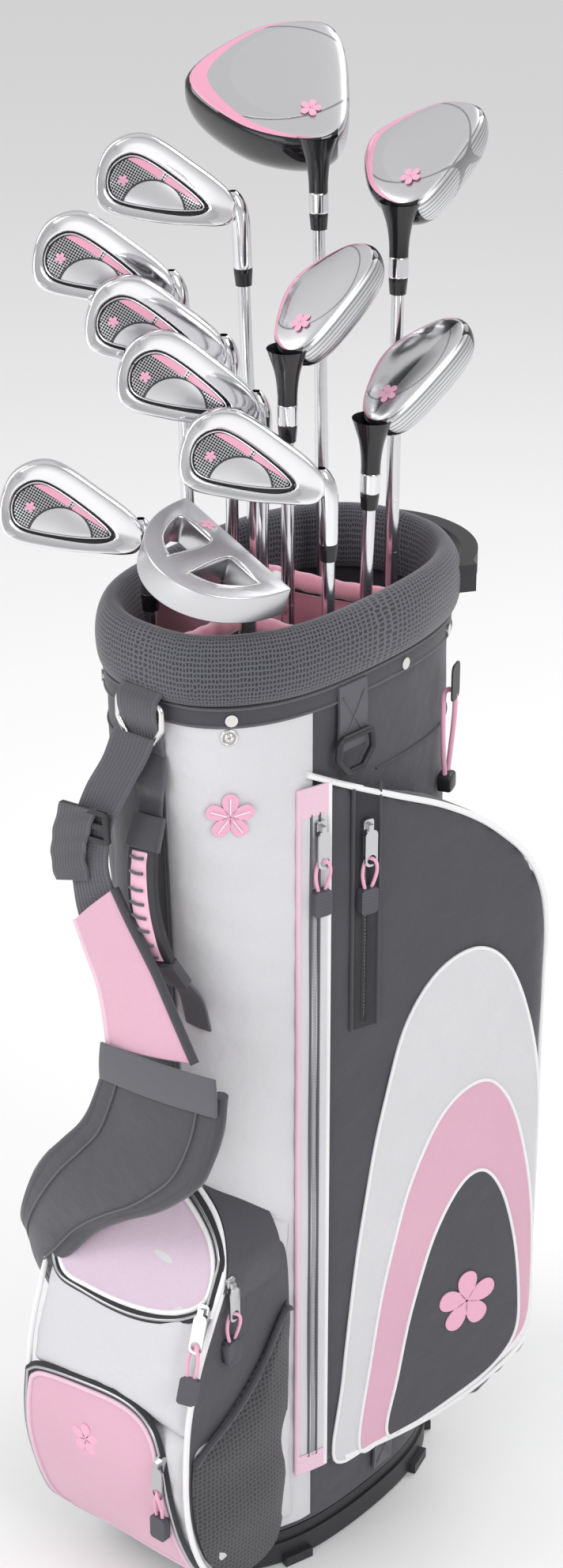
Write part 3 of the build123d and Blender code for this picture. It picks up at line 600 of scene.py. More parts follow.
# the polished collar between the neck and the black ferrule
def silverBand(name, start, long):
    at = clubFrame(name) @ Matrix.Translation((0, 0, (clubs[name]["reach"] + start) * mm))

    def place(u, v):
        radius = (7.35 if 0.04 < v < 0.96 else 6.95) * mm
        return at @ Vector((radius * cos(2 * pi * u), radius * sin(2 * pi * u), v * long * mm))
    finishPiece(wrapGrid(name + "NeckBand", 40, 24, place), "chrome", name, 50)


def petalMesh(size, turn):
    points = []
    for i in range(20):
        t = 2 * pi * i / 20
        x, y = size * 0.46 * cos(t) + size * 0.5, size * 0.30 * sin(t) * (1 + 0.35 * cos(t))
        points.append((x * cos(turn) - y * sin(turn), x * sin(turn) + y * cos(turn)))
    return points


# a plain five-petalled flower, each petal its own raised piece, joined together
def blossom(name, frameAt, size, body, thick=0.0004):
    petals = [slab(name + str(k), petalMesh(size, 2 * pi * k / 5 + 0.3), thick, frameAt)
              for k in range(5)]
    deselectAll()
    for petal in petals:
        petal.select_set(True)
    bpy.context.view_layer.objects.active = petals[0]
    bpy.ops.object.join()
    petals[0].name = name
    return finishPiece(petals[0], "loop", body, 30)


neckFinish = plasticFinish("neckBlack", (0.012, 0.012, 0.014), 0.14, 0.02)
for wood in woods:
    makeWood(wood, wood == "hybrid_5")
print("woods ready")


irons = {"outline": [(40, 0), (78, -1), (97, 18), (95, 44), (80, 62), (50, 55), (18, 41), (-6, 26), (2, 7)],
         "cavity": [(44, 15), (77, 14), (90, 27), (88, 44), (75, 53), (48, 46), (20, 34), (13, 22)],
         "badge": [(46, 18), (75, 17), (86, 29), (84, 43), (73, 49.5), (50, 43), (26, 32), (19, 24)],
         "hosel": 60, "lie": 58, "loft": {"iron_6": 8, "iron_7": 8, "iron_8": 9, "iron_9": 10,
                                          "pitching_wedge": 10, "sand_wedge": 10}}


# frame on the blade: x to the toe, y towards the sole, z out of the face
def ironFrame(name):
    lie, loft = radians(irons["lie"]), radians(irons["loft"][name])
    toe = Vector((0, sin(lie), cos(lie)))
    crown = Vector((0, cos(lie), -sin(lie)))
    normal = Vector((1, 0, 0)) * cos(loft) + crown * sin(loft)
    local = frameOf(Vector((0, 0, (clubs[name]["reach"] + irons["hosel"]) * mm)), toe,
                    normal.cross(toe))
    return clubFrame(name) @ local


def curveOutline(points, count, scale=1.0, centre=(0, 0)):
    ring = [smoothPoint([(x, y, 0) for x, y in points], i / count, True) for i in range(count)]
    return [(centre[0] + (p.x - centre[0]) * scale, centre[1] + (p.y - centre[1]) * scale)
            for p in ring]


# cavity badge: dotted silver at the toe, plain silver half disc, two pink bars
def badgeFinish(name, frameAt):
    badge = Finish(name + "Badge", (0.5, 0.5, 0.52), 0.3)
    x, y, z = localPlace(badge, frameAt)
    height = badge.math("MULTIPLY", y, -1.0)
    cell = 0.0019
    dotX = badge.math("SUBTRACT", badge.math("PINGPONG", x, cell), cell / 2)
    dotY = badge.math("SUBTRACT", badge.math("PINGPONG", height, cell), cell / 2)
    dots = badge.math("LESS_THAN", badge.math("ADD", badge.math("POWER", dotX, 2.0),
                      badge.math("POWER", dotY, 2.0)), 0.0000006)
    disc = badge.math("ADD", badge.math("POWER", badge.math("DIVIDE", badge.math(
        "SUBTRACT", x, 0.047), 0.0225), 2.0), badge.math("POWER", badge.math(
            "DIVIDE", badge.math("SUBTRACT", height, 0.0455), 0.022), 2.0))
    inDisc = badge.math("LESS_THAN", disc, 1.0)
    ring = badge.math("LESS_THAN", badge.math("ABSOLUTE", badge.math("SUBTRACT", disc, 1.08)), 0.07)
    # the bars follow the sole edge of the badge
    slope = badge.math("SUBTRACT", height, badge.math("MULTIPLY", badge.math("SUBTRACT", x, 0.03), -0.05))
    bar = badge.math("LESS_THAN", slope, 0.0235)
    gap = badge.math("GREATER_THAN", badge.math("ABSOLUTE", badge.math("SUBTRACT", x, 0.052)), 0.0016)
    pink = badge.math("MULTIPLY", bar, gap)
    silver = badge.colours(dots, (0.62, 0.62, 0.64), (0.03, 0.03, 0.035))
    colour = badge.colours(inDisc, silver, (0.70, 0.70, 0.72))
    colour = badge.colours(ring, colour, (0.04, 0.04, 0.045))
    colour = badge.colours(pink, colour, (0.80, 0.36, 0.48))
    badge.setColour(colour)
    metal = badge.math("SUBTRACT", 1.0, badge.math("MAXIMUM", pink, ring))
    badge.wire(badge.math("MULTIPLY", metal, 0.85), badge.shader.inputs["Metallic"])
    pressed = badge.math("MULTIPLY", dots, badge.math("SUBTRACT", 1.0, inDisc))
    badge.setNormal(badge.bump(badge.math("SUBTRACT", 1.0, pressed), 0.5, 0.0004))
    badge.shader.inputs["Coat Weight"].default_value = 0.4
    return badge.material


def makeIron(name):
    frameAt = ironFrame(name)
    scale = 1.02 if "wedge" in name else 1.0
    turnOver = Matrix.Scale(-1, 4, (0, 1, 0))
    columns = 88
    rim = [(x * scale, y * scale) for x, y in irons["outline"]]
    hollow = [(x * scale, y * scale) for x, y in irons["cavity"]]
    outer = [smoothPoint([(x, y, 0) for x, y in rim], i / columns, True) for i in range(columns)]
    heart = Vector((48 * scale, 30 * scale, 0))
    # each ring: share of the way from the outline to the cavity edge, height over the face
    rings = [("in", 1.0, 2.0), ("rim", 0.16, 2.0), ("rim", 0.03, 1.6), ("rim", 0.0, 0.2),
             ("rim", 0.0, -3.0), ("rim", 0.0, -5.6), ("rim", 0.05, -7.4), ("rim", 0.2, -8.2),
             ("cav", 1.05, -8.0), ("cav", 0.985, -7.4), ("cav", 0.96, -5.0), ("cav", 0.93, -4.0),
             ("cav", 0.0, -4.0)]
    # match the cavity's points to the outline's by angle about the middle
    def angleOf(p, about):
        return atan2(p.y - about.y, p.x - about.x)
    core = Vector((54 * scale, 31 * scale, 0))
    fineDip = [smoothPoint([(x, y, 0) for x, y in hollow], i / 720, True) for i in range(720)]
    matched = [min(fineDip, key=lambda q: abs(atan2(sin(angleOf(q, core) - angleOf(p, core)),
                                                    cos(angleOf(q, core) - angleOf(p, core)))))
               for p in outer]

    def place(u, v):
        k = round(u * columns) % columns
        kind, share, height = rings[min(round(v * (len(rings) - 1)), len(rings) - 1)]
        p, q = outer[k], matched[k]
        if kind == "in":
            spot = heart.copy()
        elif kind == "rim":
            spot = p + (q - p) * share
        else:
            spot = core + (q - core) * share
        low = max(0.0, 1 - spot.y / (17 * scale)) if height < -3 else 0     # heavier sole
        if kind == "rim" and height < -3:
            height -= 5.0 * low
        if kind == "cav" and share > 0.97:
            height -= 1.5 * low
        return frameAt @ Vector((spot.x * mm, -spot.y * mm, height * mm))
    blade = wrapGrid(name + "Blade", columns, len(rings) - 1, place)
    roundEdges(blade, 0.0007, 2, 30)
    finishPiece(blade, "chrome", name, 35, (name + "_head",))
    neckAt = clubFrame(name) @ Matrix.Translation((0, 0, clubs[name]["reach"] * mm))
    neckRings = [(0, 6.3), (0.03, 6.85), (0.3, 6.9), (0.62, 7.0), (0.82, 6.6), (0.95, 5.0), (1.0, 3.2)]

    def neck(u, v):
        share, radius, _ = smoothPoint([(s, r, 0) for s, r in neckRings], v)
        bend = max(0, share - 0.55) ** 2 * 26
        return neckAt @ Vector(((radius * cos(2 * pi * u) - 1.5 * share) * mm,
                                (radius * sin(2 * pi * u) + bend) * mm, share * 58 * mm))
    finishPiece(wrapGrid(name + "Hosel", 36, 20, neck), "chrome", name, 60)
    # black groove floor, the badge on it, and the small blossom
    floorAt = frameAt @ Matrix.Translation((0, 0, -4.4 * mm)) @ turnOver
    trough = slab(name + "Trough", [(x * mm * scale, y * mm * scale) for x, y in
                                    curveOutline(irons["cavity"], 60, 0.965, (54, 31))], -0.0004, floorAt)
    finishPiece(trough, "ferrule", name, 30)
    plate = slab(name + "BadgePlate", [(x * mm * scale, y * mm * scale) for x, y in
                                       curveOutline(irons["badge"], 60)], -0.0016, floorAt)
    roundEdges(plate, 0.0005, 2, 40)
    finishPiece(plate, badgeFinish(name, frameAt), name, 30)
    ringLine = [frameAt @ Vector((x * mm * scale, -y * mm * scale, -5.9 * mm)) for x, y in
                curveOutline(irons["badge"], 40, 1.05, (52, 31))]
    finishPiece(pipeAlong(name + "BadgeRim", ringLine, 0.0006, True, 80), "chrome", name, 60)
    blossom(name + "Motif", frameAt @ frameOf(Vector((77, -36, -6.2)) * mm, (-1, 0, 0), (0, 1, 0)),
            0.0042, name)


for iron in irons["loft"]:
    makeIron(iron)
print("irons ready")

putterSizes = {"hosel": 54, "lie": 70, "deep": 24}


def makePutter():
    toe = Vector((0, sin(radians(70)), cos(radians(70))))
    at = clubFrame("putter") @ frameOf(
        Vector((0, 0, (clubs["putter"]["reach"] + putterSizes["hosel"]) * mm)), (1, 0, 0), toe)
    arc = [(10 - 76 * sin(pi * i / 40) ** 0.9 if 0 < i < 40 else 10, 21 + 57 * cos(pi * i / 40))
           for i in range(41)]
    windows = [[(-8, 21 + side * 10), (-8, 21 + side * 39), (-12, 21 + side * 42), (-25, 21 + side * 38),
                (-40, 21 + side * 28), (-48, 21 + side * 13), (-46, 21 + side * 10)] for side in (1, -1)]
    rim = [(x * mm, y * mm) for x, y in arc]
    deselectAll()
    base = slab("putterBody", rim, -putterSizes["deep"] * mm, at)
    for window in windows:
        cutter = slab("windowCutter", [(x * mm, y * mm) for x, y in window], -0.06,
                      at @ Matrix.Translation((0, 0, 0.02)))
        opening = base.modifiers.new("window", "BOOLEAN")
        opening.object = cutter
        opening.operation = "DIFFERENCE"
        opening.solver = "EXACT"
        bpy.context.view_layer.objects.active = base
        bpy.ops.object.modifier_apply(modifier="window")
        bpy.data.objects.remove(cutter)
    roundEdges(base, 0.0028, 4, 50)
    finishPiece(base, "putter", "putter", 35, ("putter_head",))
    # grey inlay rims round the windows, the neck, and a small blossom
    for k, window in enumerate(windows):
        line = [at @ Vector((x * mm, y * mm, 0.0002)) for x, y in window]
        finishPiece(pipeAlong("putterWindowRim" + str(k), line, 0.0009, True, 70), "nickel",
                    "putter", 60)
    neckAt = clubFrame("putter") @ Matrix.Translation((0, 0, clubs["putter"]["reach"] * mm))
    profile = [(0, 5.9), (0.04, 6.4), (0.35, 6.4), (0.4, 5.9), (0.8, 5.4), (1.0, 5.2)]

    def neck(u, v):
        share, radius, _ = smoothPoint([(s, r, 0) for s, r in profile], v)
        return neckAt @ Vector((radius * mm * cos(2 * pi * u), radius * mm * sin(2 * pi * u),
                                share * 44 * mm))
    finishPiece(wrapGrid("putterNeck", 36, 20, neck), "chrome", "putter", 60)
    blossom("putterMotif", at @ frameOf(Vector((2, 46, 0.1)) * mm, (0, 1, 0), (-1, 0, 0)), 0.006,
            "putter")


makePutter()
print("putter ready")

# shafts keep their shape: polished steel with step rings, and a black ferrule at the hosel
for club in clubs:
    steel = Finish(club + "ShaftSteel", (0.74, 0.74, 0.76), 0.14, 1.0)
    x, y, z = localPlace(steel, clubFrame(club))
    collar = steel.math("GREATER_THAN", z, (clubs[club]["reach"] - 13.2) * mm)
    steel.setColour(steel.colours(collar, (0.74, 0.74, 0.76), (0.012, 0.012, 0.014)))
    steel.wire(steel.math("SUBTRACT", 1.0, collar), steel.shader.inputs["Metallic"])
    ring = steel.math("LESS_THAN", steel.math("PINGPONG", z, 0.021), 0.0008)
    steel.setNormal(steel.bump(ring, 0.35, 0.0004))
    haze = steel.noise(90, 3)
    steel.setRough(steel.math("ADD", steel.math("MULTIPLY", haze, 0.08), 0.12))
    nodes[club + "_shaft"].data.materials.clear()
    nodes[club + "_shaft"].data.materials.append(steel.material)
    rubber = Finish(club + "GripRubber", (0.021, 0.021, 0.024), 0.72)
    x, y, z = localPlace(rubber, clubFrame(club))
    twist = rubber.math("ADD", rubber.math("ARCTAN2", y, x), rubber.math("MULTIPLY", z, 260))
    back = rubber.math("ADD", rubber.math("ARCTAN2", y, x), rubber.math("MULTIPLY", z, -260))
    tread = rubber.math("MULTIPLY", rubber.math("SINE", rubber.math("MULTIPLY", twist, 6)),
                        rubber.math("SINE", rubber.math("MULTIPLY", back, 6)))
    rubber.setNormal(rubber.bump(tread, 0.6, 0.0006))
    nodes[club + "_grip"].data.materials.clear()
    nodes[club + "_grip"].data.materials.append(rubber.material)
print("shafts and grips ready")

# bag body
bag = {"power": 2.6, "base": (90.0, 141.0), "top": (91.6, 148.6), "floor": 12, "tubeTop": 800,
       "band": 785, "collarTop": 838}


# point on the tube's outside in millimetres, and the outward normal
def wallPoint(turn, z, out=0.0):
    rise = (z - bag["floor"]) / (bag["tubeTop"] - bag["floor"])
    halfX = bag["base"][0] + (bag["top"][0] - bag["base"][0]) * rise
    halfY = bag["base"][1] + (bag["top"][1] - bag["base"][1]) * rise
    c, s = cos(radians(turn)), sin(radians(turn))
    power = bag["power"]
    x = halfX * abs(c) ** (2 / power) * (1 if c >= 0 else -1)
    y = halfY * abs(s) ** (2 / power) * (1 if s >= 0 else -1)
    nx = abs(x / halfX) ** (power - 1) / halfX * (1 if x >= 0 else -1)
    ny = abs(y / halfY) ** (power - 1) / halfY * (1 if y >= 0 else -1)
    size = hypot(nx, ny)
    normal = Vector((nx / size, ny / size, 0))
    return Vector((x, y, z)) + normal * out, normal


def turnFor(x, y, z):
    rise = (z - bag["floor"]) / (bag["tubeTop"] - bag["floor"])
    halfX = bag["base"][0] + (bag["top"][0] - bag["base"][0]) * rise
    halfY = bag["base"][1] + (bag["top"][1] - bag["base"][1]) * rise
    c = (abs(x) / halfX) ** (bag["power"] / 2) * (1 if x >= 0 else -1)
    s = (abs(y) / halfY) ** (bag["power"] / 2) * (1 if y >= 0 else -1)
    return atan2(s, c) * 180 / pi


# frame on the wall in metres: x along it, y up, z outward
def wallFrame(x, y, z, out=0.0):
    point, normal = wallPoint(turnFor(x, y, z), z, out)
    return frameOf(point * mm, (-normal.y, normal.x, 0), (0, 0, 1))


def tubeCloth(u, v):
    turn, z = 360 * u, 33 + (786 - 33) * v
    pucker = 0.5 * sin(z * 0.071 + 1.3 * sin(radians(turn * 2))) * sin(radians(turn * 3 + z * 0.4))
    point, _ = wallPoint(turn, z, pucker)
    return point * mm


tube = wrapGrid("bagTube", 120, 110, tubeCloth, 0.002, -1)
finishPiece(tube, "charcoal", "bag", 60, ("body_tube",))

frontPanel = {"leftTop": -86, "leftLow": -76, "right": -22, "low": 40, "high": 770}


def frontCloth(u, v):
    p = frontPanel
    z = p["low"] + (p["high"] - p["low"]) * v
    left = p["leftLow"] + (p["leftTop"] - p["leftLow"]) * v
    turn = left + (p["right"] - left) * u
    ripple = 0.7 * sin(z * 0.052 + 2.0 * u) * sin(3.1 * u * pi + 0.5) + 0.35 * sin(z * 0.17 + 5 * u)
    edge = min(1, 10 * u, 10 * (1 - u), 14 * (1 - v))
    return wallPoint(turn, z, 1.2 + 1.8 * edge + ripple * edge)[0] * mm


front = wrapGrid("frontPanel", 44, 130, frontCloth, 0.0012, 0)
finishPiece(front, "white", "bag", 60)
leftSeam = [wallPoint(frontPanel["leftLow"] + (frontPanel["leftTop"] - frontPanel["leftLow"]) * i / 14,
                      40 + 730 * i / 14, 2.2)[0] * mm for i in range(15)]
finishPiece(pipeAlong("frontPanelBinding", leftSeam, 0.0022, samples=80, flat=0.7), "binding", "bag", 60)

# the seam across the dark shoulder of the tube, and the wall seams behind it
for height, start, end in ((700, 0, 60), (742, 66, 300)):
    line = [wallPoint(start + (end - start) * i / 20, height, 0.8)[0] * mm for i in range(21)]
    finishPiece(pipeAlong("tubeSeam" + str(height), line, 0.0009, samples=90), "binding", "bag", 60)

# collar
collarRings = [(786, 0.5), (788, 4.2), (796, 7.2), (808, 8.6), (820, 8.2), (830, 5.6), (837, 0.8),
               (838.5, -4.0), (836, -9.0), (828, -12.2), (815, -13.2), (800, -12.0), (789, -10.0),
               (786.5, -6.0)]


def collarCloth(u, v):
    height, out, _ = smoothPoint([(h, o, 0) for h, o in collarRings], v, True)
    lump = 0.8 * sin(2 * pi * u * 9 + 0.6) * max(0, out / 9) + 0.5 * sin(2 * pi * u * 4)
    point, normal = wallPoint(360 * u, min(height, 800), out + lump)
    point.z = height + 0.6 * sin(2 * pi * u * 5)
    return point * mm


collar = wrapGrid("collarPad", 168, 40, collarCloth)
finishPiece(collar, "mesh", "bag", 70, ("collar_pad",))


def bandCloth(u, v):
    return wallPoint(360 * u, 769 + 16 * v, 1.6 + 0.5 * sin(pi * v))[0] * mm


finishPiece(wrapGrid("collarBand", 120, 6, bandCloth, 0.0012, 0), "binding", "bag", 50, ())
for height in (770.5, 784):
    ring = [wallPoint(15 * i, height, 2.4)[0] * mm for i in range(24)]
    finishPiece(pipeAlong("bandEdge" + str(int(height)), ring, 0.0011, True, 120), "elastic", "bag", 60)
print("tube and collar ready")

# dividers
dividers = {"bars": (((-77, 25), (-12.5, 22)), ((-12.5, 22), (77, 44)), ((-76, -55), (-12.5, -53)),
                     ((-12.5, -53), (76, -59)), ((-12.5, 22), (-12.5, -53)), ((9, -54), (10, -130))),
            "height": 819, "tall": 15, "wide": 13}


def dividerBar(name, start, end, finish, wide, tall, height, overlap=0.0):
    a, b = Vector((*start, 0)), Vector((*end, 0))
    along = (b - a).normalized()
    side = Vector((-along.y, along.x, 0))
    a, b = a - along * overlap, b + along * overlap

    def place(u, v):
        angle = 2 * pi * u
        puff = 1 - 0.10 * sin(pi * 5 * v) ** 2
        sideways = side * cos(angle) * wide / 2 * puff
        sag = -2.2 * sin(pi * v)
        return (a + (b - a) * v + sideways + Vector((0, 0, height + sag + sin(angle) * tall / 2 * puff))) * mm
    piece = wrapGrid(name, 24, 30, place)
    deselectAll()
    bpy.context.view_layer.objects.active = piece
    bpy.ops.object.mode_set(mode="EDIT")
    bpy.ops.mesh.select_all(action="DESELECT")
    bpy.ops.mesh.select_non_manifold()
    bpy.ops.mesh.edge_face_add()
    bpy.ops.object.mode_set(mode="OBJECT")
    return finishPiece(piece, finish, "bag", 50, ())


for k, (start, end) in enumerate(dividers["bars"]):
    made = dividerBar("dividerBar" + str(k), start, end, "dividerPink", dividers["wide"],
                      dividers["tall"], dividers["height"])
    if k == 0:
        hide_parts("divider_bars")
    a, b = Vector((*start, 0)), Vector((*end, 0))

    def skirt(u, v, a=a, b=b):
        side = Vector((-(b - a).y, (b - a).x, 0)).normalized()
        wave = 0.7 * sin(9 * u * pi) * sin(v * 3)
        point = a + (b - a) * u + side * wave
        point.z = 22 + (808 - 22) * v
        return point * mm
    sheet = wrapGrid("dividerSheet" + str(k), 16, 40, skirt, 0.001, 0)
    finishPiece(sheet, "dividerPink" if k < 5 else "lining", "bag", 50,
                ("inner_dividers",) if k == 0 else ())
finishPiece(dividerBar("hubPatch", (-12.5, 10), (-12.5, -42), "piping", 14.5, 17, 820), "piping", "bag", 50)
print("dividers ready")

# side pockets
faces = {"right": ((88, -77, 0), (68, 227, 0)), "left": ((-88, -77, 0), (38, -13, 0))}


# frame on a pocket face in metres: x along it, y up, z out
def faceFrame(side, along=0.0, height=0.0, out=0.0):
    origin, way = faces[side]
    x = Vector(way).normalized()
    z = Vector((x.y, -x.x, 0))
    spot = Vector(origin) + x * along + z * out + Vector((0, 0, height))
    return frameOf(spot * mm, x, (0, 0, 1))


# a copy of a CAD solid remeshed, its edges eased and its faces given soft waves
def copyNode(name, node):
    deselectAll()
    source = nodes[node]
    source.select_set(True)
    bpy.context.view_layer.objects.active = source
    bpy.ops.object.duplicate()
    piece = bpy.context.object
    piece.name = name
    world = piece.matrix_world.copy()
    piece.parent = None
    piece.matrix_world = world
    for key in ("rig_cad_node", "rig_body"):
        if key in piece:
            del piece[key]
    piece.hide_render = False
    bpy.ops.object.mode_set(mode="EDIT")
    bpy.ops.mesh.select_all(action="SELECT")
    bpy.ops.mesh.remove_doubles(threshold=0.00002)
    bpy.ops.mesh.normals_make_consistent(inside=False)
    bpy.ops.object.mode_set(mode="OBJECT")
    return piece


def softCopy(name, node, voxel, body, finish, smoothing=6, crease=0.0012, puff=None):
    piece = copyNode(name, node)
    remesh = piece.modifiers.new("cloth", "REMESH")
    remesh.mode = "VOXEL"
    remesh.voxel_size = voxel
    bpy.ops.object.modifier_apply(modifier="cloth")
    if puff:
        inflate(piece, puff)
    ease = piece.modifiers.new("ease", "SMOOTH")
    ease.factor = 0.5
    ease.iterations = smoothing
    bpy.ops.object.modifier_apply(modifier="ease")
    if crease:
        for vertex in piece.data.vertices:
            x, y, z = vertex.co
            wave = sin(z * 41 + x * 23) * sin(y * 37 - z * 15) + 0.5 * sin(z * 95 + y * 61)
            vertex.co += vertex.normal * wave * crease * 0.5
    return finishPiece(piece, finish, body, 60, (node,))


# cloth filled from inside for a moment, its swelling capped, then applied
def inflate(piece, puff):
    start = [vertex.co.copy() for vertex in piece.data.vertices]
    cloth = piece.modifiers.new("fill", "CLOTH")
    cloth.settings.use_pressure = True
    cloth.settings.uniform_pressure_force = 4
    cloth.settings.effector_weights.gravity = 0
    for step in range(1, 13):
        bpy.context.scene.frame_set(step)
    shape = piece.evaluated_get(bpy.context.evaluated_depsgraph_get())
    moved = [vertex.co.copy() for vertex in shape.data.vertices]
    piece.modifiers.remove(cloth)
    bpy.context.scene.frame_set(1)
    for vertex, was, now in zip(piece.data.vertices, start, moved):
        step = now - was
        if step.length > puff:
            step = step.normalized() * puff
        vertex.co = was + step


softCopy("rightPocket", "right_pocket", 0.006, "bag", "charcoal", 5, 0.0008)
softCopy("leftPocket", "left_pocket", 0.007, "bag", "charcoal", 8, 0.003, 0.006)

# the arches on the right pocket, each panel lying on the one below
arches = {
    "archWhite": {"finish": "white", "out": 1.0, "points": [
        (30, 90), (38, 172), (47, 260), (58, 335), (74, 418), (95, 485), (124, 520), (160, 530),
        (190, 508), (213, 455), (229, 378), (236, 290), (238, 204), (233, 160), (216, 134), (190, 120),
        (150, 103), (110, 95), (70, 91)]},
    "archPink": {"finish": "pink", "out": 2.0, "points": [
        (54, 92), (62, 165), (76, 245), (95, 320), (120, 375), (148, 403), (176, 405), (199, 375),
        (216, 318), (226, 250), (229, 190), (223, 150), (200, 127), (160, 107), (110, 96), (80, 92)]},
    "archDark": {"finish": "charcoal", "out": 3.0, "points": [
        (82, 94), (90, 150), (104, 215), (124, 275), (148, 315), (172, 322), (192, 295), (206, 245),
        (213, 190), (212, 150), (196, 127), (165, 111), (120, 98)]},
}


# point on the right pocket's face, which rounds off at its rear edge
def onPocket(along, height, out=0.0):
    past = min(max(along - 217.9, 0), 19.6)
    drop = 20 - (400 - past * past) ** 0.5
    wave = 0.5 * sin(height * 0.05 + along * 0.03) * sin(along * 0.06)
    return faceFrame("right", min(along, 237.5), height, out - drop + wave).to_translation()


for name, arch in arches.items():
    ring = [smoothPoint([(x, y, 0) for x, y in arch["points"]], i / 132, True) for i in range(132)]
    middle = sum(ring, Vector()) / len(ring)

    def panelCloth(u, v, ring=ring, middle=middle, arch=arch):
        p = middle + (ring[round(u * 132) % 132] - middle) * v
        return onPocket(p.x, p.y, arch["out"] + 0.5 * (1 - v ** 6))
    panel = wrapGrid(name, 132, 22, panelCloth, 0.0008, 0)
    finishPiece(panel, arch["finish"], "bag", 40)
    edge = [onPocket(p.x, p.y, arch["out"] + 0.3) for p in ring[::2]]
    finishPiece(pipeAlong(name + "Piping", edge, 0.0015, True, 160), "piping", "bag", 60)
blossom("pocketMotif", faceFrame("right", 158, 200, 4.6), 0.030, "bag", 0.0008)

# piping round the pocket's front face
pocketEdge = [(0, 722), (36, 704), (80, 684), (122, 665), (156, 645), (181, 625), (205, 600),
              (222, 568), (232, 530), (236, 470), (237, 380), (237, 290), (237, 205), (233, 160),
              (222, 134), (195, 115), (150, 98), (100, 90), (40, 88)]
edge = [onPocket(x, y, 0.6) for x, y in pocketEdge]
finishPiece(pipeAlong("pocketPiping", edge, 0.0026, samples=170), "piping", "bag", 60)


def stripOn(name, side, along, low, high, wide, out, finish, thick=0.0008, wave=0.4):
    def place(u, v):
        at = faceFrame(side, along + (u - 0.5) * wide, low + (high - low) * v,
                       out + wave * sin(v * 21) * sin(pi * u))
        return at.to_translation()
    return finishPiece(wrapGrid(name, 8, 80, place, thick, 1), finish, "bag", 50)


# a coil zip: a ridge with one tooth to each pitch along the route
def zipTeeth(name, route, normalAt, wide=0.0042, pitch=0.0026, finish="ferrule"):
    length = sum((b - a).length for a, b in zip(route, route[1:]))
    steps = int(length / pitch) * 2

    def place(u, v):
        k = v * steps
        spot = smoothPoint(route, v)
        ahead = smoothPoint(route, min(v + 0.01, 1)) - smoothPoint(route, max(v - 0.01, 0))
        normal = normalAt(v)
        side = ahead.normalized().cross(normal).normalized()
        tooth = 1.0 if round(k) % 2 else 0.45
        return spot + side * (u - 0.5) * wide + normal * 0.0018 * tooth * sin(pi * u)
    return finishPiece(wrapGrid(name, 6, steps, place, 0.0006, 0), finish, "bag", 30)


# side zip: white tapes, dark coil, pink patches at both ends
stripOn("sideZipTape", "right", 6, 95, 712, 27, 1.2, "white")
stripOn("sideZipPatchTop", "right", 5, 688, 712, 27, 2.2, "pinkPiping")
stripOn("sideZipPatchLow", "right", 5, 91, 109, 27, 2.2, "pinkPiping")
for shift, finish in ((-7.5, "pinkPiping"), (19.5, "piping")):
    line = [faceFrame("right", shift, z, 1.6).to_translation() for z in (92, 210, 330, 450, 570, 712)]
    finishPiece(pipeAlong("sideZipPiping" + str(int(shift > 0)), line, 0.0022, samples=60), finish, "bag", 60)
outRight = faceFrame("right").to_3x3() @ Vector((0, 0, 1))
for shift in (3.2, 10.6):
    line = [faceFrame("right", shift, z, 2.0).to_translation() for z in (106, 300, 500, 690)]
    finishPiece(pipeAlong("sideZipLip" + str(int(shift)), line, 0.0016, samples=60, flat=0.8), "elastic",
                "bag", 60)
route = [faceFrame("right", 7, z, 1.6).to_translation() for z in (106, 300, 500, 670)]
zipTeeth("sideZipTeeth", route, lambda v: outRight, finish="zipCoil")

# accessory zip in its bound box
stripOn("accessoryBox", "right", 53, 494, 700, 25, 0.9, "lining", 0.0008, 0)
for shift in (41, 65):
    line = [faceFrame("right", shift, z, 1.6).to_translation() for z in (494, 560, 630, 700)]
    finishPiece(pipeAlong("accessoryEdge" + str(shift), line, 0.0016, samples=40), "binding", "bag", 60)
route = [faceFrame("right", 52, z, 1.9).to_translation() for z in (500, 560, 620, 664)]
zipTeeth("accessoryZipTeeth", route, lambda v: outRight)
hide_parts("zip_tapes")
print("side pockets ready")

# front pouch
pouch = {"half": 84.0, "profile": [(-140, 388), (-170, 330), (-199, 262), (-214, 190), (-215, 130),
                                   (-196, 66), (-160, 26)]}
whiteShell = softCopy("frontPouch", "front_pocket", 0.0045, "bag", "white", 6, 0.0016, 0.004)
for vertex in whiteShell.data.vertices:
    vertex.co.x = min(vertex.co.x, (pouch["half"] - 0.6) * mm)
softCopy("ballPocket", "ball_pocket", 0.0045, "bag", "white", 6, 0.0016, 0.004)


# point on the pouch's front at a height, pushed out along the surface
def pouchPoint(x, z, out=0.0):
    line = pouch["profile"]
    z = min(max(z, 27), 387)
    low, high = 0.0, 1.0
    for _ in range(24):
        half = (low + high) / 2
        if smoothPoint([(0, y, h) for y, h in line], half).z > z:
            low = half
        else:
            high = half
    here = smoothPoint([(0, y, h) for y, h in line], low)
    ahead = smoothPoint([(0, y, h) for y, h in line], min(low + 0.02, 1)) - here
    normal = Vector((0, -ahead.z, ahead.y)).normalized()
    if normal.y > 0:
        normal = -normal
    spot = Vector((x, here.y, z)) + normal * (out + 0.5 * sin(x * 0.06) * sin(z * 0.05))
    return spot * mm


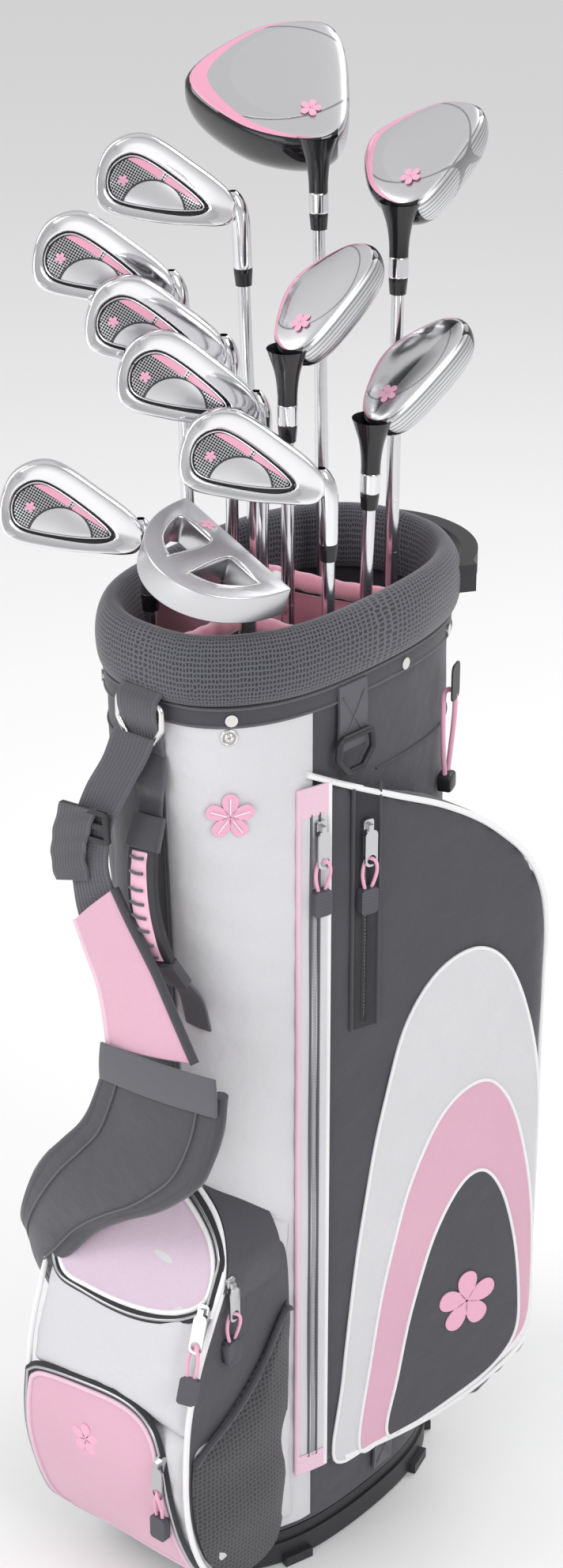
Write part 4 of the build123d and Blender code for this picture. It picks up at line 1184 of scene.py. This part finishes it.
pouchPanels = {
    "pouchLid": {"finish": "lilac", "piping": "piping", "out": 3.4, "points": [
        (-60, 284), (-34, 281), (0, 282), (34, 287), (60, 296), (77, 310), (78, 330), (68, 348),
        (50, 361), (26, 372), (0, 378), (-24, 372), (-48, 354), (-66, 330), (-72, 304)]},
    "ballDoor": {"finish": "pink", "piping": "pinkPiping", "out": 3.4, "points": [
        (-79, 176), (-74, 190), (-58, 196), (-20, 201), (14, 203), (36, 199), (50, 188), (58, 168),
        (63, 140), (68, 108), (73, 76), (74, 52), (66, 44), (0, 42), (-66, 44), (-76, 52), (-80, 110)]},
}
for name, panel in pouchPanels.items():
    ring = [smoothPoint([(x, y, 0) for x, y in panel["points"]], i / 120, True) for i in range(120)]
    middle = sum(ring, Vector()) / len(ring)

    def lidCloth(u, v, ring=ring, middle=middle, panel=panel):
        p = middle + (ring[round(u * 120) % 120] - middle) * v
        return pouchPoint(p.x, p.y, panel["out"] + 1.4 * (1 - v ** 4))
    made = wrapGrid(name, 120, 20, lidCloth, 0.0012, 0)
    finishPiece(made, panel["finish"], "bag", 50)
    edge = [pouchPoint(p.x, p.y, panel["out"] + 0.6) for p in ring[::2]]
    finishPiece(pipeAlong(name + "Piping", edge, 0.0022, True, 150), panel["piping"], "bag", 60)
    wider = [middle + (p - middle) * 1.0 + (p - middle).normalized() * 6 for p in ring]
    tape = [pouchPoint(min(max(p.x, -82), 81), p.y, panel["out"] - 0.6) for p in wider[::2]]
    finishPiece(pipeAlong(name + "Tape", tape, 0.0046, True, 150, 0.45, (0, -1, 0.3)), "lining", "bag", 60)
    teeth = [pouchPoint(min(max(p.x, -82), 81), p.y, panel["out"] + 1.4) for p in wider[::2]]
    finishPiece(pipeAlong(name + "Coil", teeth, 0.0013, True, 300), "zipMetal", "bag", 60)

# dark side of the pouch with its net pocket, and the piping on its corner
sideOutline = [(-138, 334), (-160, 328), (-180, 296), (-196, 262), (-207, 220), (-210, 180), (-210, 130),
               (-202, 92), (-188, 62), (-164, 34), (-120, 31), (-100, 60), (-96, 120), (-92, 200),
               (-92, 280), (-98, 322), (-116, 334)]
netOutline = [(-209, 176), (-196, 186), (-172, 198), (-150, 212), (-128, 232), (-104, 262), (-94, 262),
              (-96, 180), (-99, 100), (-104, 50), (-124, 33), (-164, 36), (-188, 63), (-202, 93), (-209, 130)]


# how far the pouch's arched top pulls in from its full half width at a height
def pouchNarrow(side, z):
    return max(0, z - 336) * 0.76 if side > 0 else max(0, z - 290) * 0.457


def sidePanel(name, outline, x, finish, dome):
    ring = [smoothPoint([(y, z, 0) for y, z in outline], i / 96, True) for i in range(96)]
    middle = sum(ring, Vector()) / len(ring)

    def place(u, v):
        p = middle + (ring[round(u * 96) % 96] - middle) * v
        swell = dome * (1 - v ** 3) + 0.12 * dome * sin(p.y * 0.08)
        return Vector((x - pouchNarrow(1, p.y) + swell, p.x, p.y)) * mm
    return finishPiece(wrapGrid(name, 96, 18, place, 0.001, 0), finish, "bag", 50)


netFinish = honeycombFinish("sideNet", (230, 230, 1), (0.004, 0.004, 0.005), (0.050, 0.050, 0.060), True)
sidePanel("pouchSide", sideOutline, pouch["half"] + 0.1, "charcoal", 0.4)


# the dark gusset carries on over the pouch's shoulder, from its front edge back to the bag
def shoulder(u, v):
    p, ahead = smoothPoint(domeArch, u * 0.62), smoothPoint(domeArch, min(u * 0.62 + 0.01, 1))
    back = smoothPoint(domeArch, max(u * 0.62 - 0.01, 0))
    along = (ahead - back).normalized()
    front = pouchPoint(p.x, p.y).y / mm + 2
    return Vector((p.x + along.y * 1.7, front + (-106 - front) * v, p.y - along.x * 1.7)) * mm


domeArch = [Vector((84, 300, 0)), Vector((84, 336, 0)), Vector((58, 370, 0)), Vector((4, 388, 0)),
            Vector((-52, 360, 0)), Vector((-84, 290, 0))]
finishPiece(wrapGrid("pouchShoulder", 48, 16, shoulder, 0.0008, 0), "charcoal", "bag", 60)
sidePanel("sideNetPocket", netOutline, pouch["half"] + 2.4, netFinish, 5.0)
hem = [Vector((pouch["half"] + 4.5 + 2.5 * sin(pi * i / 6), y, z)) * mm for i, (y, z) in
       enumerate(netOutline[:7])]
finishPiece(pipeAlong("netHem", hem, 0.0028, samples=70, flat=0.8), "binding", "bag", 60)
corner = [(-150, 356), (-168, 326), (-184, 290), (-199, 258), (-210, 222), (-214.5, 185), (-215.5, 150),
          (-213, 120), (-206, 90), (-194, 62), (-178, 42), (-158, 27)]
for side in (1, -1):
    line = [Vector((side * (pouch["half"] + 0.5 - pouchNarrow(side, z)), y - 0.6, z)) * mm
            for y, z in corner]
    finishPiece(pipeAlong("pouchCornerPiping" + str(side + 1), line, 0.0025, samples=120), "piping",
                "bag", 60)
line = [pouchPoint(spot.x, min(spot.y, 386), 1.2) for spot in domeArch]
finishPiece(pipeAlong("domePiping", line, 0.0022, samples=90), "piping", "bag", 60)
blossom("doorMotif", frameOf(pouchPoint(-17, 157, 5.0), (1, 0, 0), (0, 0, 1)), 0.015, "bag", 0.0006)
print("pouch ready")


# strap, buckle and handle
# a strap through pairs of edge points, crowned across, with real thickness
def ribbon(name, edges, thick, finish, body, crown=2.0, columns=12, rows=60, smooth=50, ripple=0.0):
    left, right = [e[0] for e in edges], [e[1] for e in edges]

    def place(u, v):
        a, b = smoothPoint(left, v), smoothPoint(right, v)
        way = smoothPoint(left, min(v + 0.02, 1)) - smoothPoint(left, max(v - 0.02, 0))
        normal = (b - a).cross(way).normalized()
        if normal.y > 0:
            normal = -normal
        wave = ripple * sin(v * 24 + u * 3)
        return (a + (b - a) * u + normal * (crown * sin(pi * u) + wave)) * mm
    piece = wrapGrid(name, columns, rows, place, 0, 1, False)
    addThickness(piece, thick * mm, 0)
    roundEdges(piece, min(0.0012, thick * mm * 0.35), 2, 50)
    return finishPiece(piece, finish, body, smooth)


strapPad = [((-2, -196, 494), (108, -196, 514)), ((-12, -198, 464), (106, -198, 488)),
            ((-24, -199, 438), (98, -199, 460)), ((-44, -200, 414), (86, -200, 434)),
            ((-62, -200, 393), (66, -200, 412)), ((-78, -198, 370), (40, -199, 390)),
            ((-92, -194, 345), (4, -197, 366)), ((-104, -188, 322), (-30, -193, 338)),
            ((-115, -178, 300), (-58, -190, 306)), ((-124, -162, 275), (-86, -182, 274)),
            ((-129, -148, 240), (-98, -160, 240)), ((-131, -134, 207), (-104, -128, 207))]
pad = ribbon("strapPad", strapPad, 11, "charcoal", "bag", 4, 20, 90)
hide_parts("shoulder_strap")
for k, side in ((0, "Left"), (1, "Right")):
    line = [Vector(e[k]) * mm + Vector((0, -0.0005, 0)) for e in strapPad]
    finishPiece(pipeAlong("padBinding" + side, line, 0.0062, samples=110, flat=0.9), "binding", "bag", 60)
for share in (0.14, 0.86):
    line = [(Vector(a) * (1 - share) + Vector(b) * share) * mm + Vector((0, -0.0085, 0)) for a, b in strapPad]
    finishPiece(pipeAlong("padStitch" + str(int(share * 100)), line, 0.0008, samples=110), "elastic",
                "bag", 60)
ribbon("padElastic", [((-6, -204, 488), (111, -205, 500)), ((-5, -205, 504), (112, -206, 516)),
                      ((-4, -204, 520), (110, -205, 532))], 2.4, "elastic", "bag", 3, 16, 20)
ribbon("strapPanel", [((-41, -186, 604), (-3, -185, 642)), ((-28, -188, 582), (14, -187, 620)),
                      ((-14, -191, 560), (40, -190, 590)), ((-6, -194, 540), (62, -193, 560)),
                      ((0, -197, 516), (84, -197, 532))], 7, "pink", "bag", 4, 14, 50)
for k, side in ((0, "Left"), (1, "Right")):
    line = [Vector(p) * mm for p in (((-41, -187, 604), (-28, -189, 582), (-14, -192, 560), (-6, -195, 540),
                                      (0, -198, 516)), ((-3, -186, 642), (14, -188, 620), (40, -191, 590),
                                                        (62, -194, 560), (84, -198, 532)))[k]]
    finishPiece(pipeAlong("panelBinding" + side, line, 0.0042, samples=60, flat=0.9),
                "binding" if k else "pinkPiping", "bag", 60)
ribbon("strapWebbing", [((-21, -162, 758), (17, -162, 758)), ((-25, -170, 738), (13, -170, 738)),
                        ((-34, -180, 712), (4, -180, 714)), ((-42, -186, 686), (-4, -186, 690)),
                        ((-46, -187, 655), (-8, -187, 664)), ((-42, -186, 622), (-4, -186, 640)),
                        ((-38, -186, 600), (2, -186, 628))], 2.6, "webbing", "bag", 0.8, 10, 70, 50, 0.6)
ribbon("strapTail", [((-50, -191, 700), (-14, -191, 704)), ((-56, -193, 676), (-20, -193, 684)),
                     ((-60, -192, 652), (-26, -192, 664)), ((-58, -190, 632), (-24, -190, 644))], 2.6,
       "webbing", "bag", 0.8, 10, 40, 50, 0.6)
ribbon("ringLoopWebbing", [((-19, -154, 792), (19, -154, 792)), ((-19, -160, 787), (19, -160, 787)),
                           ((-18, -161, 776), (18, -161, 776)), ((-18, -156, 762), (18, -156, 762)),
                           ((-18, -152.5, 742), (18, -152.5, 742))], 2.4, "webbing", "bag", 0.4, 10, 40)


# strap adjuster: a rounded frame with a bar across its middle
def triGlide():
    at = frameOf(Vector((-26, -189, 690)) * mm, (1, 0, 0.08), (0, 0, 1))
    rim = [(22, -13), (24, -11), (24, 11), (22, 13), (-22, 13), (-24, 11), (-24, -11), (-22, -13)]
    base = slab("strapAdjuster", [(x * mm, y * mm) for x, y in rim], 0.0038, at)
    for low in (-9, 2.5):
        hole = [(-19, low), (19, low), (19, low + 6.5), (-19, low + 6.5)]
        cutter = slab("slotCutter", [(x * mm, y * mm) for x, y in hole], 0.02,
                      at @ Matrix.Translation((0, 0, -0.008)))
        slot = base.modifiers.new("slot", "BOOLEAN")
        slot.object = cutter
        slot.operation = "DIFFERENCE"
        bpy.context.view_layer.objects.active = base
        bpy.ops.object.modifier_apply(modifier="slot")
        bpy.data.objects.remove(cutter)
    roundEdges(base, 0.001, 3, 40)
    finishPiece(base, "moulded", "bag", 40)


triGlide()
handleEdges = [((-1, -158, 694), (22, -158, 697)), ((1, -170, 672), (26, -170, 675)),
               ((5, -177, 645), (31, -177, 647)), ((10, -178, 618), (37, -178, 619)),
               ((16, -173, 592), (43, -173, 592)), ((22, -162, 572), (48, -162, 570))]
handle = ribbon("handleBody", handleEdges, 7, "moulded", "handle", 3, 12, 50)
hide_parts("carry_handle")
insert = [tuple(tuple(Vector(a).lerp(Vector(b), s) + Vector((0, -3.6, 0))) for s in (0.2, 0.8))
          for a, b in handleEdges[1:5]]
ribbon("handleInsert", insert, 4, "gripPink", "handle", 2.6, 10, 40)
for k in range(8):
    share = 0.06 + 0.88 * k / 7
    a = smoothPoint([i[0] for i in insert], share)
    b = smoothPoint([i[1] for i in insert], share)
    line = [(a + (b - a) * s + Vector((0, -3.6 - 2.2 * sin(pi * s), 0))) * mm for s in (0.12, 0.4, 0.6, 0.88)]
    finishPiece(pipeAlong("handleSlot" + str(k), line, 0.0021, samples=16, flat=0.6), "elastic", "handle", 60)
for k, (start, end) in enumerate(((0, 1), (4, 5))):
    sleeve = [tuple(tuple(Vector(p) + Vector((dx, -1.5, 0))) for p, dx in ((handleEdges[i][0], -1.5),
                    (handleEdges[i][1], 1.5))) for i in (start, end)]
    ribbon("handleSleeve" + str(k), sleeve, 9.5, "binding", "handle", 3, 12, 16)
ribbon("handleWebbingTop", [((-3, -153, 742), (20, -153, 742)), ((0, -163, 722), (23, -158, 722)),
                            ((-4, -156, 706), (19, -156, 708)), ((-1, -160, 692), (21, -160, 695))], 2.4,
       "webbing", "bag", 0.6, 10, 40)
ribbon("handleWebbingLow", [((23, -161, 572), (47, -161, 570)), ((28, -152, 552), (50, -149, 550)),
                            ((30, -146, 524), (52, -143, 522))], 2.4, "webbing", "bag", 0.6, 10, 30)
print("strap and handle ready")

# tabs, towel ring, umbrella loop, motif
def wallTab(name, x, y, z, wide, tall, out, finish, boxStitch=True):
    at = wallFrame(x, y, z, out)

    def place(u, v):
        return at @ Vector(((u - 0.5) * wide * mm, (v - 0.5) * tall * mm, 0.0012 * sin(pi * v)))
    finishPiece(wrapGrid(name, 10, 24, place, 0.0022, 1), finish, "bag", 50)
    if boxStitch:
        w, h = wide * 0.38 * mm, tall * 0.34 * mm
        for k, line in enumerate(([(-w, -h), (w, h)], [(-w, h), (w, -h)])):
            spots = [at @ Vector((x, y, 0.0032)) for x, y in line]
            spots.insert(1, (spots[0] + spots[1]) / 2 + (at.to_3x3() @ Vector((0, 0, 0.0004))))
            finishPiece(pipeAlong(name + "Stitch" + str(k), spots, 0.0006, samples=12), "elastic", "bag", 60)


wallTab("towelTab", 90, -32, 756, 30, 52, 2.4, "elastic")
wallTab("baseTab", 89, 20, 60, 24, 34, 1.6, "webbing")
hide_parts("webbing")
umbrellaAt = wallFrame(80, 92, 732, 0.2)
plate = slab("umbrellaEyelet", [(x * mm, y * mm) for x, y in curveOutline(
    [(9, 4), (8, 18), (0, 20), (-8, 18), (-9, 4), (-8, -8), (0, -10), (8, -8)], 40)], 0.0015,
    umbrellaAt @ Matrix.Translation((0, 0.001, 0.0118)))
finishPiece(plate, "moulded", "bag", 40)
toggle = slab("umbrellaToggle", [(x * mm, y * mm) for x, y in curveOutline(
    [(6, 7), (-6, 7), (-8, 0), (-6, -7), (6, -7), (8, 0)], 30)], 0.010,
    umbrellaAt @ Matrix.Translation((0, -0.079, 0.002)), 0.0015, 0.001)
roundEdges(toggle, 0.001, 2, 40)
finishPiece(toggle, "moulded", "bag", 40)
snapAt = wallFrame(60, -131, 762, 1.2)
for name, radius, wire in (("snapRing", 5.6, 0.0011), ("snapStud", 2.2, 0.0016)):
    ring = [snapAt @ (Vector((radius * cos(pi * k / 6), radius * sin(pi * k / 6), 1)) * mm)
            for k in range(12)]
    finishPiece(pipeAlong(name, ring, wire, True, 48), "nickel", "bag", 60)
stitched = wallFrame(60, -131, 700, 4.4)
blossom("panelBlossom", stitched, 0.019, "bag", 0.0010)
for k in range(5):
    turn = 2 * pi * k / 5 + 0.3
    line = [stitched @ Vector((cos(turn) * r, sin(turn) * r, 0.0022)) for r in (0.003, 0.007, 0.011, 0.015)]
    finishPiece(pipeAlong("petalStitch" + str(k), line, 0.0005, samples=10), "piping", "bag", 60)

# pulls and cords
pullFrames = {
    "side_zip": (faceFrame("right", 10, 677, 1.3), "side_zip_pull"),
    "accessory_zip": (faceFrame("right", 52, 667, 1.3), "accessory_zip_pull"),
    "front_zip": (frameOf(Vector((80, -186, 304)) * mm, (0.96, 0.28, 0),
                          Vector((0.25, -0.86, 0.44)).cross(Vector((0.96, 0.28, 0)))), "front_zip_pull"),
    "front_parked_zip": (frameOf(Vector((84.6, -166, 322)) * mm, (0, 1, 0), (0, 0, 1)), "bag"),
    "ball_zip": (frameOf(Vector((62, -217.5, 172)) * mm, (1, 0, 0), (0, 0, 1)), "ball_zip_pull"),
}
loopRoute = [(3, -50, 5), (5.2, -41, 7.5), (4.6, -31, 10.2), (2.2, -24.6, 10.6), (-1.2, -24.2, 4.6),
             (-4.2, -30.5, 4.4), (-5.4, -41, 4.6), (-3, -50, 5)]
umbrellaRoute = [(4, -72, 7), (5.2, -52, 8.6), (5, -30, 10.6), (4, -13, 11.6), (2.4, -2, 11.4),
                 (-1.8, -1.2, 4.4), (-4.2, -12, 4.6), (-5.2, -30, 5), (-5, -52, 5.6), (-4, -72, 7)]


def cordCurve(name, route, at, diameter, finish):
    deselectAll()
    data = bpy.data.curves.new(name, "CURVE")
    data.dimensions = "3D"
    line = data.splines.new("NURBS")
    line.points.add(len(route) - 1)
    for point, spot in zip(line.points, route):
        point.co = (*(at @ (Vector(spot) * mm)), 1)
    line.order_u = 3
    line.use_endpoint_u = True
    data.bevel_depth = diameter / 2
    data.bevel_resolution = 4
    data.resolution_u = 10
    data.use_fill_caps = True
    data.materials.append(finishes[finish])
    curve = bpy.data.objects.new(name, data)
    bpy.context.scene.collection.objects.link(curve)
    return curve


for zipName, (at, body) in pullFrames.items():
    loop = cordCurve(zipName + "_loop", loopRoute, at, 0.0028, "loop")
    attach(loop, body)
    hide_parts(zipName + "_cord")
shock = cordCurve("umbrellaLoop", umbrellaRoute, umbrellaAt, 0.004, "loop")
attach(shock, "bag")
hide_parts("umbrella_cord")


# gunmetal slider and tab; the tip below the cord is moulded grey
def pullFinish(name, at):
    pull = Finish(name + "PullFinish", (0.5, 0.5, 0.52), 0.25)
    x, y, z = localPlace(pull, at)
    tip = pull.math("LESS_THAN", y, -0.0495)
    pull.setColour(pull.colours(tip, (0.55, 0.55, 0.56), (0.07, 0.07, 0.085)))
    pull.wire(pull.math("SUBTRACT", 1.0, tip), pull.shader.inputs["Metallic"])
    pull.setRough(pull.math("ADD", pull.math("MULTIPLY", tip, 0.25), 0.24))
    rib = pull.math("MULTIPLY", tip, pull.math("SINE", pull.math("MULTIPLY", y, 2400)))
    pull.setNormal(pull.bump(rib, 0.4, 0.0004))
    return pull.material


for zipName, (at, body) in pullFrames.items():
    if zipName == "front_parked_zip":
        parked = copyNode("frontParkedPull", "front_zip_slider")
        parked.matrix_world = at @ pullFrames["front_zip"][0].inverted() @ parked.matrix_world
        finishPiece(parked, pullFinish(zipName, at), "bag", 35)
        continue
    nodes[zipName + "_slider"].data.materials.clear()
    nodes[zipName + "_slider"].data.materials.append(pullFinish(zipName, at))
print("pulls and cords ready")

# hard nodes that keep their shape
for name, finish in {"base_moulding": "moulded", "top_frame": "moulded", "stay_rods": "satin",
                     "metal_fittings": "nickel", "towel_ring": "moulded"}.items():
    nodes[name].data.materials.clear()
    nodes[name].data.materials.append(finishes[finish])

print("scene ready")
